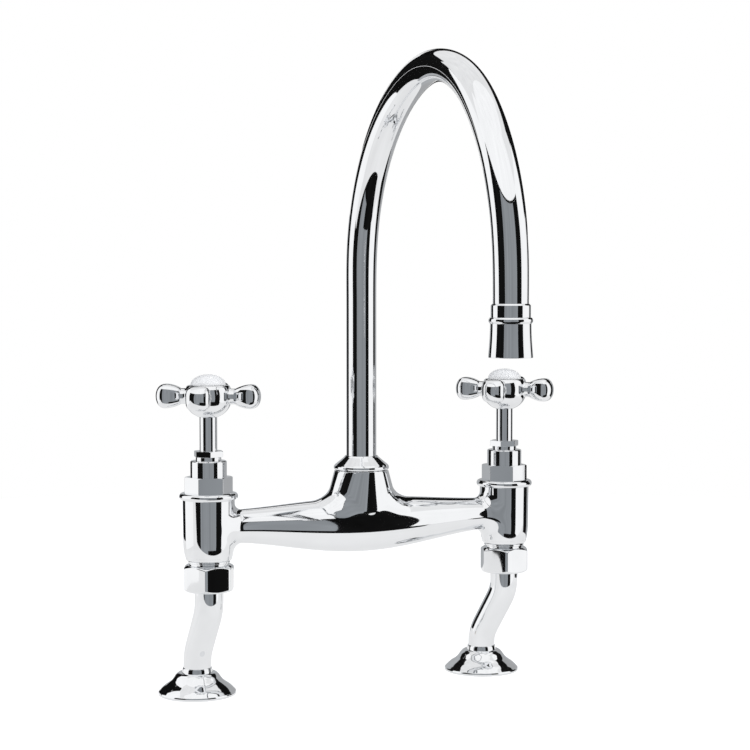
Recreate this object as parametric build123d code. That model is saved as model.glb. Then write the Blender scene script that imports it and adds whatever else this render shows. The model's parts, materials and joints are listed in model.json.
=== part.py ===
from build123d import *
from math import atan2, cos, degrees, hypot, pi, radians, sin, sqrt, tan
import os

# Two-hole deck-mounted bridge mixer tap: a hollow bridge casting on two cranked legs, two
# quarter-turn valves with crosshead handles, and a tall swivelling gooseneck spout.
# Millimetres. +Z is up, the spout reaches forward along -Y, hot is on the left (-X).
# The origin is on the spout's swivel axis, at the level of the worktop that the tap stands on.

# ---------------------------------------------------------------- driving dimensions
# Layout
valve_spacing = 203.0          # between the two valve axes
leg_crank = 17.0               # how far each leg sets its tail off from its valve axis
leg_turn = {"hot": 9.5, "cold": 34.3}          # way the crank points, degrees from straight back
handle_turn = {"hot": -30.5, "cold": -42.0}    # closed handles, degrees
bonnet_turn = {"hot": -11.4, "cold": -34.3}    # how far each hexagon happened to tighten, degrees
gland_turn = {"hot": 20.3, "cold": -10.1}
union_turn = {"hot": 5.1, "cold": 11.6}

# General clearances
running_gap = 0.1              # radial, between a turning piece and its bore
turning_gap = 0.3              # radial, around turning pieces that are no fit
thread_gap = 0.1               # radial, between male and female thread envelopes
slip_gap = 0.05                # radial, between pieces slipped together

# Bridge casting
arm_radius = 10.4              # where an arm meets its valve barrel
arm_lift = 0.5                 # the arms' ends lie this much above the waterway
belly_radius = 17.3            # round section at the middle of the bridge
belly_sag = 2.7                # how far the middle hangs below the arms' line
belly_half_length = 84.0       # where the swelling of the bridge dies out
belly_fullness = 1.5
arm_stations = 5               # sections lofted on each side of the middle
boss_top_radius = 17.1
boss_root_radius = 18.6
boss_height = 32.8             # bridge waterway to the boss's top face
boss_end_drop = 17.5           # the boss's round lower end below the waterway
boss_blend = 14.0              # cast radius between boss and arms
barrel_blend = 4.5             # cast radius between arms and valve barrels
waterway_radius = 7.5

# Valve barrel, part of the casting; heights from the waterway
barrel_top_radius = 16.0
barrel_waist_radius = 15.6
barrel_foot_radius = 13.3
barrel_top = 18.1
barrel_foot = -20.8
barrel_shoulder = -13.0        # where the barrel starts to round in to its foot
bead_radius = 18.1
bead_height = 4.4
seat_depth = 9.0               # the valve seat below the waterway
valve_bore_radius = 10.4775    # G1/2 thread, major radius
seat_hole_radius = 6.8
spigot_radius = 12.2           # threaded lower spigot that carries the union nut
spigot_length = 9.7
spigot_neck_radius = 13.0
spigot_neck = 1.4

# Quarter-turn valve
seal_height = 2.5
seal_radius = 9.4
disc_radius = 8.5
fixed_disc_height = 3.6
moving_disc_height = 3.0
disc_port_radius = 2.6
disc_port_offset = 4.6
cage_wall = 1.4                # thin skirt of the bonnet around the discs
cage_window_width = 11.0
cage_window_height = 8.0
spindle_radius = 5.4
spindle_foot_radius = 8.2
spindle_foot_height = 3.0
drive_key_width = 3.0
drive_key_height = 1.6
bonnet_flats = 26.0            # across flats
bonnet_hex_height = 9.7
bonnet_sleeve_radius = 11.2
bonnet_sleeve_height = 9.9
bonnet_neck_radius = 7.85
bonnet_neck_height = 2.5
bonnet_ring_section = 1.3      # O-ring under the hexagon
gland_flats = 16.7
gland_hex_height = 3.5
gland_thread_radius = 6.9
gland_thread_length = 4.0
gland_seal_height = 3.0
spindle_shoulder = 20.9        # gland nut's top face to the handle's seat

# Crosshead handle
hub_radius = 13.9
hub_top = 6.8                  # flat top above the arms' axis
arm_reach = 33.0               # handle axis to the tip of an arm
arm_neck_radius = 4.85
arm_collar_end = 17.0          # plain collar from the hub to here
arm_collar_step = 0.25
arm_end_radius = 7.55
arm_end_dome = 6.1             # from an arm's widest place to its tip
arm_ball = 8.3                 # half length of the turned end that closes the flats
arm_edge_share = 1.16          # an arm over its rounded edges, against over its flats
arm_root_fillet = 3.0          # between an arm's collar and the hub
arm_count = 4
hub_recess_radius = 9.0
hub_recess_depth = 4.8
hub_web = 2.2
drive_square = 7.4             # across flats of the spindle's top
screw_radius = 2.0
screw_length = 12.0
screw_head_radius = 3.9
screw_head_height = 2.8
screw_slot = 1.0
cap_radius = 10.8
cap_rise = 6.7                 # dome above the hub's flat top
cap_plug_length = 1.6
cap_lip = 0.25

# Union and leg
union_flats = 29.4
union_height = 16.5
union_lip = 3.1                # the nut's inner floor, under the leg's collar
union_nut_cover = 8.3          # how much of the spigot's thread the nut covers
union_washer_height = 2.0
leg_collar_radius = 11.6
leg_collar_height = 3.0
leg_radius = 8.8
leg_bore_radius = 6.5
leg_bend_radius = 20.0
leg_top_straight = 6.9         # plain tube showing below the union nut
leg_foot_height = 19.5         # worktop to the end of the lower bend
leg_drop = 41.0                # height of the crank; the bridge's height follows from it
leg_socket_depth = 9.0         # tube inside the tail's socket

# Tail and deck fixings
tail_radius = 10.4775          # G1/2 thread, major radius
tail_bore_radius = 6.5
tail_chamfer = 0.8
hose_thread_length = 14.0      # thread below the backnut that a supply hose screws on
hose_thread_clearance = 0.2    # from the backnut down to the thread relief
thread_relief_height = 1.5
thread_relief_depth = 0.9
tail_collar_top = 16.7         # worktop to the top of the tapered collar
tail_collar_height = 3.0
tail_collar_radius = 9.7
tail_shoulder_radius = 15.0
tail_shoulder_height = 4.0
gasket_height = 2.0
worktop = 20.0                 # thickness of worktop drawn clamped
clamp_washer_radius = 17.5
clamp_washer_height = 1.5
backnut_flats = 27.0
backnut_height = 8.0
flange_radius = 24.5
flange_rim = 2.4
flange_crown_radius = 10.9
flange_crown_height = 13.9
flange_wall = 1.6

# Spout
tube_radius = 9.525            # three quarter inch tube
tube_wall = 1.2
riser_length = 124.4           # boss to where the riser starts to bend
rise_bend_radius = 119.9
rise_bend_angle = 74.1
crown_bend_radius = 86.2
fall_bend_radius = 132.0
fall_bend_angle = 45.7
fall_straight = 16.63          # plain tube from the last bend to the outlet
outlet_grip = 9.0              # tube inside the outlet's sleeve
spigot_turning_radius = 11.9
spigot_turning_length = 18.0
spigot_flange_radius = 13.4
spigot_flange_height = 2.0
spout_bore_depth = 9.0         # boss's chamber below the waterway
spout_socket = 12.0            # tube inside the swivel spigot
thrust_height = 1.0
collar_thread_radius = 14.2
ring_section = 1.0             # radius of the O-rings' round section
ring_pitch = 6.0
collar_skirt_radius = 17.6
collar_bead_height = 2.9
collar_cone_height = 6.0
collar_cone_radius = 17.2
collar_mouth_radius = 10.4

# Outlet
sleeve_radius = 10.6
sleeve_height = 7.3
sleeve_chamfer = 0.9
outlet_bead_radius = 11.75
outlet_bead_height = 3.0
shroud_top_radius = 10.9
shroud_mouth_radius = 11.9
shroud_height = 18.2
shroud_bore_radius = 10.2
shroud_thread_length = 5.0
aerator_radius = 9.6
aerator_height = 7.0
aerator_seal_height = 1.6
vane_thickness = 0.8

# ---------------------------------------------------------------- worked-out places
valve_x = {"hot": -valve_spacing / 2, "cold": valve_spacing / 2}
leg_bend_z = leg_foot_height + leg_drop
union_z = leg_bend_z + leg_top_straight
leg_collar_z = union_z + union_lip
leg_top_z = leg_collar_z + leg_collar_height
spigot_foot_z = leg_top_z + union_washer_height
barrel_foot_z = spigot_foot_z + spigot_length
bridge_height = barrel_foot_z - barrel_foot       # centre line of the bridge's waterway
seat_z = bridge_height - seat_depth
barrel_top_z = bridge_height + barrel_top
bonnet_z = barrel_top_z + bead_height
bonnet_sleeve_z = bonnet_z + bonnet_hex_height
bonnet_neck_z = bonnet_sleeve_z + bonnet_sleeve_height
gland_z = bonnet_neck_z + bonnet_neck_height
handle_seat_z = gland_z + gland_hex_height + spindle_shoulder
handle_z = handle_seat_z + sqrt(hub_radius ** 2 - spindle_radius ** 2)
hub_top_z = handle_z + hub_top
fixed_disc_z = seat_z + seal_height
moving_disc_z = fixed_disc_z + fixed_disc_height
foot_z = moving_disc_z + moving_disc_height
boss_top_z = bridge_height + boss_height
leg_foot_z = tail_collar_top - leg_socket_depth


# ---------------------------------------------------------------- shape helpers
def turned(*outline):
    """Solid of revolution about Z. The outline is closed and drawn as (radius, height)."""
    return revolve(Plane.XZ * make_face(list(outline)), Axis.Z)


def lathe(*points):
    """Solid of revolution about Z from the corners of its half section, (radius, height)."""
    return turned(*Polyline(*points, close=True).edges())


def tube_ring(outer, inner, bottom, top):
    """Plain ring or bush about Z."""
    return lathe((inner, bottom), (outer, bottom), (outer, top), (inner, top))


def rod(radius, bottom, top):
    """Plain round bar about Z."""
    return Pos(0, 0, bottom) * Cylinder(
        radius, top - bottom, align=(Align.CENTER, Align.CENTER, Align.MIN))


def hexagon(flats, bottom, top, turn, chamfer_below=True, chamfer_above=True):
    """Hexagonal prism about Z whose corners are turned off at 30 degrees, as on a nut."""
    corner = flats / sqrt(3)
    touch = flats / 2 * 0.98
    drop = (corner - touch) * tan(radians(30))
    base = RegularPolygon(flats / 2, 6, major_radius=False, rotation=turn)
    prism = extrude(Pos(0, 0, bottom) * base, top - bottom)
    half_section = [(0, bottom)]
    half_section += [(touch, bottom), (corner, bottom + drop)] if chamfer_below else [
        (corner, bottom)]
    half_section += [(corner, top - drop), (touch, top)] if chamfer_above else [(corner, top)]
    half_section += [(0, top)]
    envelope = lathe(*half_section)
    return prism & envelope


def round_ring(ring_radius, section_radius, height):
    """O-ring about Z."""
    return Pos(0, 0, height) * Torus(ring_radius, section_radius)


def write(name, *solids):
    """Writes one node; several solids become one group."""
    shape = solids[0] if len(solids) == 1 else Compound(children=list(solids))
    shape.label = name
    export_step(shape, f"parts/{name}.step")
    print(f"{name}: {len(shape.solids())} solid(s), {shape.volume:.1f} mm3")


# ---------------------------------------------------------------- bridge casting
def bridge_arms():
    """Both arms in one loft of round sections that swell and hang towards the middle."""
    sections = []
    half = valve_spacing / 2
    for step in range(-arm_stations, arm_stations + 1):
        x = half * step / arm_stations
        share = cos(pi / 2 * min(abs(x) / belly_half_length, 1.0)) ** belly_fullness
        radius = arm_radius + (belly_radius - arm_radius) * share
        height = bridge_height + arm_lift - belly_sag * share
        station = Plane(origin=(x, 0, height), x_dir=(0, 1, 0), z_dir=(1, 0, 0))
        sections.append(station * Circle(radius))
    return loft(sections)


def spout_boss():
    """Slightly tapered boss with a round lower end that stays inside the bridge's belly."""
    top = boss_top_z
    end = bridge_height - boss_end_drop
    middle = radians(45)
    return turned(
        Line((0, end), (0, top)),
        Line((0, top), (boss_top_radius, top)),
        Line((boss_top_radius, top), (boss_root_radius, bridge_height)),
        ThreePointArc(
            (boss_root_radius, bridge_height),
            (boss_root_radius * cos(middle), bridge_height - boss_end_drop * sin(middle)),
            (0, end)))


def valve_barrel():
    """Outside of one valve barrel, with its top bead, its rounded foot and threaded spigot."""
    foot, top = barrel_foot_z, barrel_top_z
    shoulder = bridge_height + barrel_shoulder
    bead_top = top + bead_height
    bead_middle = top + bead_height / 2
    return turned(
        Line((0, spigot_foot_z), (spigot_radius, spigot_foot_z)),
        Line((spigot_radius, spigot_foot_z), (spigot_radius, foot)),
        Line((spigot_radius, foot), (spigot_neck_radius, foot)),
        Line((spigot_neck_radius, foot), (spigot_neck_radius, foot + spigot_neck)),
        Line((spigot_neck_radius, foot + spigot_neck), (barrel_foot_radius, foot + spigot_neck)),
        Spline((barrel_foot_radius, foot + spigot_neck), (barrel_waist_radius, shoulder),
               tangents=[(1.2, 1), (0.06, 1)]),
        Line((barrel_waist_radius, shoulder), (barrel_top_radius, top)),
        Line((barrel_top_radius, top), (bead_radius - bead_height / 2, top)),
        ThreePointArc((bead_radius - bead_height / 2, top), (bead_radius, bead_middle),
                      (bead_radius - bead_height / 2, bead_top)),
        Line((bead_radius - bead_height / 2, bead_top), (0, bead_top)),
        Line((0, bead_top), (0, spigot_foot_z)))


def blend(body, near_x, reach, radius, low, high):
    """Rounds the edges where two cast forms meet around x = near_x, between two heights."""
    chosen = []
    for edge in body.edges():
        box = edge.bounding_box()
        inside = box.min.X > near_x - reach and box.max.X < near_x + reach
        if inside and box.min.Z > low and box.max.Z < high and box.size.Z > barrel_blend:
            chosen.append(edge)
    return fillet(chosen, radius) if chosen else body


def bridge_body():
    """The hollow casting that joins both valves and the spout's swivel."""
    body = bridge_arms() + spout_boss()
    body = blend(body, 0, 2 * boss_root_radius, boss_blend,
                 bridge_height - 1, boss_top_z - boss_blend / 2)
    for side in valve_x:
        body = body + Pos(valve_x[side], 0, 0) * valve_barrel()
    for side in valve_x:
        body = blend(body, valve_x[side], barrel_top_radius + 1, barrel_blend,
                     barrel_foot_z + spigot_neck, barrel_top_z - 1)
    span = valve_spacing / 2
    waterway = Pos(0, 0, bridge_height) * Rot(0, 90, 0) * Cylinder(waterway_radius, 2 * span)
    body = body - waterway
    for side in valve_x:
        bore = rod(valve_bore_radius, seat_z, bonnet_z + 1)
        bore = bore + rod(seat_hole_radius, spigot_foot_z - 1, seat_z + 1)
        body = body - Pos(valve_x[side], 0, 0) * bore
    chamber = rod(spigot_turning_radius + running_gap, bridge_height - spout_bore_depth, boss_top_z)
    mouth = rod(collar_thread_radius + thread_gap, spigot_seat_z(), boss_top_z + 1)
    return body - chamber - mouth


# ---------------------------------------------------------------- spout swivel
def collar_thread_z():
    """Lower end of the swivel collar's thread, on the upper thrust washer."""
    return boss_top_z - 2 * thrust_height - spigot_flange_height


def spigot_seat_z():
    """Step in the boss that carries the lower thrust washer."""
    return collar_thread_z() - 2 * thrust_height - spigot_flange_height


def spout_collar():
    """Threaded collar that keeps the spout in its boss: a beaded skirt under a cone."""
    low = collar_thread_z()
    skirt = boss_top_z
    cone = skirt + collar_bead_height
    top = cone + collar_cone_height
    bore = tube_radius + turning_gap
    corner = collar_bead_height / 2
    return turned(
        Line((bore, low), (collar_thread_radius, low)),
        Line((collar_thread_radius, low), (collar_thread_radius, skirt)),
        Line((collar_thread_radius, skirt), (collar_skirt_radius - corner, skirt)),
        ThreePointArc((collar_skirt_radius - corner, skirt),
                      (collar_skirt_radius, skirt + corner),
                      (collar_skirt_radius - corner, cone)),
        Line((collar_skirt_radius - corner, cone), (collar_cone_radius - corner, cone)),
        Line((collar_cone_radius - corner, cone), (collar_mouth_radius, top)),
        Line((collar_mouth_radius, top), (bore, top)),
        Line((bore, top), (bore, low)))


def thrust_washers():
    """Two plastic washers, under and over the spigot's flange."""
    low = spigot_seat_z()
    high = collar_thread_z()
    inner = spigot_turning_radius + turning_gap
    lower = tube_ring(spigot_flange_radius, inner, low, low + thrust_height)
    upper = tube_ring(spigot_flange_radius, tube_radius + turning_gap, high - thrust_height, high)
    return lower, upper


def spigot_top_z():
    return collar_thread_z() - thrust_height


def spout_spigot():
    """Flanged bush brazed to the spout's foot, which turns in the boss."""
    top = spigot_top_z()
    flange = top - spigot_flange_height
    low = flange - spigot_turning_length
    socket = top - spout_socket
    body = lathe(
        (tube_radius - tube_wall, low), (spigot_turning_radius, low),
        (spigot_turning_radius, flange), (spigot_flange_radius, flange),
        (spigot_flange_radius, top), (tube_radius + slip_gap, top),
        (tube_radius + slip_gap, socket), (tube_radius - tube_wall, socket))
    for height in ring_heights():
        floor = ring_radius() - ring_section - slip_gap
        body = body - tube_ring(
            spigot_turning_radius + 1, floor, height - ring_section - slip_gap,
            height + ring_section + slip_gap)
    return body


def ring_radius():
    """Centre-line radius of the swivel's O-rings, just inside the boss's bore."""
    return spigot_turning_radius - ring_section


def ring_heights():
    """Both O-rings lie below the tube's socket, one ring_pitch apart."""
    low = spigot_top_z() - spigot_flange_height - spigot_turning_length
    first = low + ring_section + 1.0
    return first, first + ring_pitch


# ---------------------------------------------------------------- spout
def spout_bends():
    """Start, middle and end of each of the three tangent bends, which add up to a half turn."""
    crown_angle = 180 - rise_bend_angle - fall_bend_angle
    turns = [(rise_bend_radius, rise_bend_angle), (crown_bend_radius, crown_angle),
             (fall_bend_radius, fall_bend_angle)]
    place = Vector(0, 0, boss_top_z + riser_length)
    heading = 0.0
    bends = []
    for radius, angle in turns:
        points = [place]
        for part in (angle / 2, angle):
            there = radians(heading + part)
            here = radians(heading)
            forward = radius * (cos(here) - cos(there))
            upward = radius * (sin(there) - sin(here))
            points.append(Vector(0, place.Y - forward, place.Z + upward))
        bends.append(points)
        place = points[-1]
        heading += angle
    return bends


def spout_path():
    """Riser, the three bends, and the fall to the outlet."""
    bends = spout_bends()
    last = bends[-1][-1]
    end = Vector(0, last.Y, outlet_top_z() - outlet_grip)
    start = Vector(0, 0, spigot_top_z() - spout_socket)
    arcs = [ThreePointArc(*points) for points in bends]
    return Wire([Line(start, bends[0][0]), *arcs, Line(last, end)]), end


def outlet_top_z():
    """Upper end of the outlet's sleeve."""
    return spout_bends()[-1][-1].Z - fall_straight


def outlet_low_z():
    """Mouth of the outlet."""
    return outlet_top_z() - sleeve_height - outlet_bead_height - shroud_height


def spout_tube():
    """Bent tube, open at both ends."""
    path, end = spout_path()
    start = Plane(origin=path @ 0, z_dir=(0, 0, 1))
    section = start * (Circle(tube_radius) - Circle(tube_radius - tube_wall))
    return sweep(section, path=path), end


def outlet_sleeve():
    """Chamfered sleeve brazed over the tube's end, with a threaded nose for the shroud."""
    top = outlet_top_z()
    bead = top - sleeve_height
    nose = bead - outlet_bead_height - shroud_thread_length
    bore = tube_radius - tube_wall
    return lathe(
        (tube_radius + slip_gap, top), (tube_radius + slip_gap, top - outlet_grip),
        (bore, top - outlet_grip), (bore, nose), (shroud_bore_radius - thread_gap, nose),
        (shroud_bore_radius - thread_gap, bead), (sleeve_radius, bead),
        (sleeve_radius, top - sleeve_chamfer), (sleeve_radius - sleeve_chamfer, top))


def outlet_shroud():
    """Screw-off lower part of the outlet: a bead over a skirt that widens to the mouth."""
    low = outlet_low_z()
    skirt = low + shroud_height
    top = skirt + outlet_bead_height
    corner = outlet_bead_height / 2
    ledge = aerator_ledge_z()
    lip = shroud_bore_radius - 1.2
    outer = turned(
        Line((0, low), (shroud_mouth_radius, low)),
        Spline((shroud_mouth_radius, low), (shroud_top_radius, skirt),
               tangents=[(-0.12, 1), (0.0, 1)]),
        Line((shroud_top_radius, skirt), (outlet_bead_radius - corner, skirt)),
        ThreePointArc((outlet_bead_radius - corner, skirt),
                      (outlet_bead_radius, skirt + corner),
                      (outlet_bead_radius - corner, top)),
        Line((outlet_bead_radius - corner, top), (0, top)),
        Line((0, top), (0, low)))
    bore = rod(shroud_bore_radius, ledge, top + 1)
    mouth = rod(lip, low - 1, ledge + 1)
    return outer - bore - mouth


def aerator_ledge_z():
    """Ledge in the shroud on which the flow straightener rests."""
    nose = outlet_low_z() + shroud_height - shroud_thread_length
    return nose - aerator_seal_height - aerator_height


def aerator():
    """Flow straightener: a ring with two crossed vanes under a thin disc with a hole."""
    low = aerator_ledge_z()
    high = low + aerator_height
    wall = 1.0
    ring = tube_ring(aerator_radius, aerator_radius - wall, low, high)
    middle = (low + high) / 2
    body = ring + tube_ring(aerator_radius - wall / 2, 3 * wall, high - wall, high)
    for angle in (0, 45, 90, 135):
        vane = Box(2 * aerator_radius - wall, vane_thickness, aerator_height)
        body = body + Pos(0, 0, middle) * Rot(0, 0, angle) * vane
    return body


# ---------------------------------------------------------------- valve
def bonnet(side):
    """Headworks: hexagon, sleeve and neck above the barrel, thread and cage inside it."""
    cage_radius = disc_radius + turning_gap
    cage_low = fixed_disc_z
    cage_top = foot_z + spindle_foot_height + turning_gap
    bore = spindle_radius + running_gap
    hexagonal = hexagon(bonnet_flats, bonnet_z, bonnet_sleeve_z, bonnet_turn[side],
                        chamfer_below=False)
    body = hexagonal + rod(bonnet_sleeve_radius, bonnet_sleeve_z, bonnet_neck_z)
    body = body + rod(bonnet_neck_radius, bonnet_neck_z, gland_z)
    window_low = moving_disc_z - turning_gap
    body = body + rod(valve_bore_radius - thread_gap, window_low + cage_window_height, bonnet_z)
    body = body + rod(cage_radius + cage_wall, cage_low, bonnet_z)
    body = body - rod(bore, cage_low, gland_z + 1)
    body = body - rod(cage_radius, cage_low - 1, cage_top)
    recess = gland_z - gland_thread_length
    body = body - rod(gland_thread_radius + thread_gap, recess, gland_z + 1)
    body = body - rod(bore + 1.4, recess - gland_seal_height, recess + 1)
    window = Box(3 * cage_radius, cage_window_width, cage_window_height,
                 align=(Align.CENTER, Align.CENTER, Align.MIN))
    body = body - Pos(0, 0, window_low) * window
    groove = bonnet_ring_section + slip_gap
    body = body - tube_ring(valve_bore_radius + 1, valve_bore_radius - 2 * groove,
                            bonnet_z - 2 * groove, bonnet_z)
    return body


def bonnet_ring():
    """O-ring in the groove under the hexagon."""
    centre = valve_bore_radius - bonnet_ring_section - slip_gap
    return round_ring(centre, bonnet_ring_section, bonnet_z - bonnet_ring_section - slip_gap)


def gland_nut(side):
    """Small hexagon screwed into the bonnet's neck over the spindle's seal."""
    top = gland_z + gland_hex_height
    nut = hexagon(gland_flats, gland_z, top, gland_turn[side], chamfer_below=False)
    nut = nut + rod(gland_thread_radius, gland_z - gland_thread_length, gland_z)
    return nut - rod(spindle_radius + running_gap, gland_z - gland_thread_length - 1, top + 1)


def gland_seal():
    """Lipped sleeve seal around the spindle, under the gland nut."""
    top = gland_z - gland_thread_length
    inner = spindle_radius + running_gap
    outer = inner + 1.4 - slip_gap
    return tube_ring(outer, inner, top - gland_seal_height, top)


def seat_seal():
    """Rubber ring between the casting's seat and the fixed disc."""
    return tube_ring(seal_radius, seat_hole_radius, seat_z, fixed_disc_z)


def fixed_disc():
    """Ceramic disc with two ports, held by the bonnet's cage."""
    disc = rod(disc_radius, fixed_disc_z, moving_disc_z)
    for angle in (90, 270):
        port = Pos(disc_port_offset, 0, 0) * rod(disc_port_radius, fixed_disc_z - 1,
                                                 moving_disc_z + 1)
        disc = disc - Rot(0, 0, angle) * port
    return disc


def moving_disc():
    """Ceramic disc that covers the ports when closed, slotted for the spindle's key."""
    disc = rod(disc_radius, moving_disc_z, foot_z)
    for angle in (0, 180):
        port = Pos(disc_port_offset, 0, 0) * rod(disc_port_radius, moving_disc_z - 1, foot_z + 1)
        disc = disc - Rot(0, 0, angle) * port
    slot_width = drive_key_width + 2 * slip_gap
    slot_depth = drive_key_height + slip_gap
    slot = Box(slot_width, 3 * disc_radius, slot_depth,
               align=(Align.CENTER, Align.CENTER, Align.MAX))
    return disc - Pos(0, 0, foot_z) * slot


def spindle(side):
    """Round stem from the moving disc to the handle, squared where the handle sits."""
    foot_top = foot_z + spindle_foot_height
    stem = rod(spindle_foot_radius, foot_z, foot_top) + rod(spindle_radius, foot_top, handle_seat_z)
    key = Box(drive_key_width, 2 * disc_radius - 2, drive_key_height,
              align=(Align.CENTER, Align.CENTER, Align.MAX))
    flow = Pos(disc_port_offset, 0, 0) * rod(disc_port_radius, foot_z - 1, foot_top + 1)
    square_top = hub_web_z() - slip_gap
    square = Box(drive_square, drive_square, square_top - handle_seat_z,
                 align=(Align.CENTER, Align.CENTER, Align.MIN))
    square = Rot(0, 0, handle_turn[side]) * square
    body = stem + Pos(0, 0, foot_z) * key + Pos(0, 0, handle_seat_z) * square
    for angle in (0, 180):
        body = body - Rot(0, 0, angle) * flow
    hole_low = square_top - screw_length
    return body - rod(screw_radius + slip_gap, hole_low, square_top + 1)


def hub_web_z():
    """Underside of the hub's web, which the screw clamps onto the spindle."""
    return hub_top_z - hub_recess_depth - hub_web


# ---------------------------------------------------------------- handle
def arm_outline(share, widest, *end):
    """Upper half of an arm beyond its collar, swelling to its widest place, then the end."""
    neck = (arm_neck_radius - arm_collar_step) * share
    start = arm_collar_end - arm_collar_step
    return make_face([
        Line((start, 0), (start, neck)),
        Line((start, neck), (arm_collar_end, neck)),
        Spline((arm_collar_end, neck), (widest, arm_end_radius * share),
               tangents=[(1, 0.65), (1, 0)]),
        *end,
        Line(end[-1] @ 1, (start, 0))])


def handle_arm():
    """One arm along +X: a round collar run into the hub, then a swelling with four flats.

    The outline seen from the front and the one seen from above are the same, and a turned
    body a little larger rounds the four edges between the flats.
    """
    rise = arm_neck_radius + arm_root_fillet
    centre = hub_radius + arm_root_fillet
    along = sqrt(centre ** 2 - rise ** 2)
    root = Vector(along, rise) * (hub_radius / centre)
    toward = Vector(-along / centre, -rise / centre - 1).normalized()
    bottom = Vector(along, rise) + toward * arm_root_fillet
    start = hub_radius / 2
    collar = revolve(make_face([
        Line((start, 0), (start, root.Y)),
        Line((start, root.Y), (root.X, root.Y)),
        ThreePointArc(root, bottom, (along, arm_neck_radius)),
        Line((along, arm_neck_radius), (arm_collar_end, arm_neck_radius)),
        Line((arm_collar_end, arm_neck_radius), (arm_collar_end, 0)),
        Line((arm_collar_end, 0), (start, 0))]), Axis.X)
    widest = arm_reach - arm_end_dome
    past = arm_reach + arm_end_dome
    half = arm_outline(1, widest,
                       Line((widest, arm_end_radius), (past, arm_end_radius)),
                       Line((past, arm_end_radius), (past, 0)))
    slab = extrude(half + mirror(half, about=Plane.XZ), amount=arm_end_radius * 2, both=True)
    edge = arm_end_radius * arm_edge_share
    ball = arm_reach - arm_ball
    pull = 0.5523                  # makes the curve a quarter of an ellipse
    turned_arm = revolve(arm_outline(
        arm_edge_share, ball,
        Bezier((ball, edge), (ball + pull * arm_ball, edge), (arm_reach, pull * edge),
               (arm_reach, 0))), Axis.X)
    swelling = slab & turned_arm & (Rot(90, 0, 0) * slab)
    return collar + swelling


def hub_shell():
    """Ball cut flat on top, its upper edge rounded."""
    edge = 1.2
    rim = sqrt(hub_radius ** 2 - hub_top ** 2)
    foot = sqrt(hub_radius ** 2 - spindle_radius ** 2)
    return turned(
        Line((0, -foot), (spindle_radius, -foot)),
        ThreePointArc((spindle_radius, -foot),
                      (hub_radius * cos(radians(-10)), hub_radius * sin(radians(-10))),
                      (rim + edge * 0.45, hub_top - edge)),
        Line((rim + edge * 0.45, hub_top - edge), (rim - edge * 0.2, hub_top)),
        Line((rim - edge * 0.2, hub_top), (0, hub_top)),
        Line((0, hub_top), (0, -foot)))


def handle():
    """Crosshead: hub and four arms in one casting, about its own centre."""
    body = hub_shell()
    for index in range(arm_count):
        body = body + Rot(0, 0, 360 / arm_count * index) * handle_arm()
    foot = handle_seat_z - handle_z
    web = hub_web_z() - handle_z
    socket = Box(drive_square + 2 * slip_gap, drive_square + 2 * slip_gap, web - foot + 1,
                 align=(Align.CENTER, Align.CENTER, Align.MIN))
    body = body - Pos(0, 0, foot - 1) * socket
    body = body - rod(screw_radius + 0.3, web - 1, hub_top)
    return body - rod(hub_recess_radius, web + hub_web, hub_top + 1)


def handle_screw():
    """Slotted cheese-head screw that holds the handle down on its spindle."""
    head = hub_web_z() + hub_web
    top = head + screw_head_height
    low = hub_web_z() - slip_gap - screw_length + 1
    screw = rod(screw_radius, low, head) + rod(screw_head_radius, head, top)
    slot = Box(3 * screw_head_radius, screw_slot, screw_slot,
               align=(Align.CENTER, Align.CENTER, Align.MAX))
    return screw - Pos(0, 0, top) * slot


def handle_cap():
    """White porcelain dome with a short plug that presses into the hub's recess."""
    dome = (cap_radius ** 2 + (cap_rise - cap_lip) ** 2) / (2 * (cap_rise - cap_lip))
    half = atan2(cap_radius, dome - (cap_rise - cap_lip)) / 2
    plug = hub_recess_radius - slip_gap
    crown = hub_top_z + cap_rise
    body = turned(
        Line((0, hub_top_z), (cap_radius, hub_top_z)),
        Line((cap_radius, hub_top_z), (cap_radius, hub_top_z + cap_lip)),
        ThreePointArc((cap_radius, hub_top_z + cap_lip),
                      (dome * sin(half), crown - dome * (1 - cos(half))), (0, crown)),
        Line((0, crown), (0, hub_top_z)))
    body = body + rod(plug, hub_top_z - cap_plug_length, hub_top_z)
    room = screw_head_radius + 1.0
    return body - rod(room, hub_top_z - cap_plug_length - 1, hub_top_z + 0.6)


# ---------------------------------------------------------------- union, leg and fixings
def union_nut(side):
    """Large hexagon nut that draws the leg's collar up against the spigot."""
    top = union_z + union_height
    nut = hexagon(union_flats, union_z, top, union_turn[side])
    nut = nut - rod(spigot_radius + thread_gap, leg_collar_z, top + 1)
    return nut - rod(leg_radius + turning_gap, union_z - 1, leg_collar_z + 1)


def union_washer():
    """Fibre washer between the leg's collar and the spigot."""
    return tube_ring(leg_collar_radius, seat_hole_radius, leg_top_z, spigot_foot_z)


def leg_path():
    """Down out of the nut, two opposite bends that set it back by leg_crank, down again."""
    drop = leg_bend_z - leg_foot_height
    slope_run = sqrt(drop ** 2 + leg_crank ** 2 - 4 * leg_bend_radius * leg_crank)
    slope = atan2(leg_crank - 2 * leg_bend_radius, drop) - atan2(-2 * leg_bend_radius, slope_run)
    across = leg_bend_radius * (1 - cos(slope))
    down = leg_bend_radius * sin(slope)
    half_across = leg_bend_radius * (1 - cos(slope / 2))
    half_down = leg_bend_radius * sin(slope / 2)
    top, foot = leg_bend_z, leg_foot_height
    upper_end = (0, across, top - down)
    lower_start = (0, leg_crank - across, foot + down)
    return Wire([
        Line((0, 0, leg_collar_z), (0, 0, top)),
        ThreePointArc((0, 0, top), (0, half_across, top - half_down), upper_end),
        Line(upper_end, lower_start),
        ThreePointArc(lower_start, (0, leg_crank - half_across, foot + half_down),
                      (0, leg_crank, foot)),
        Line((0, leg_crank, foot), (0, leg_crank, leg_foot_z))])


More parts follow.
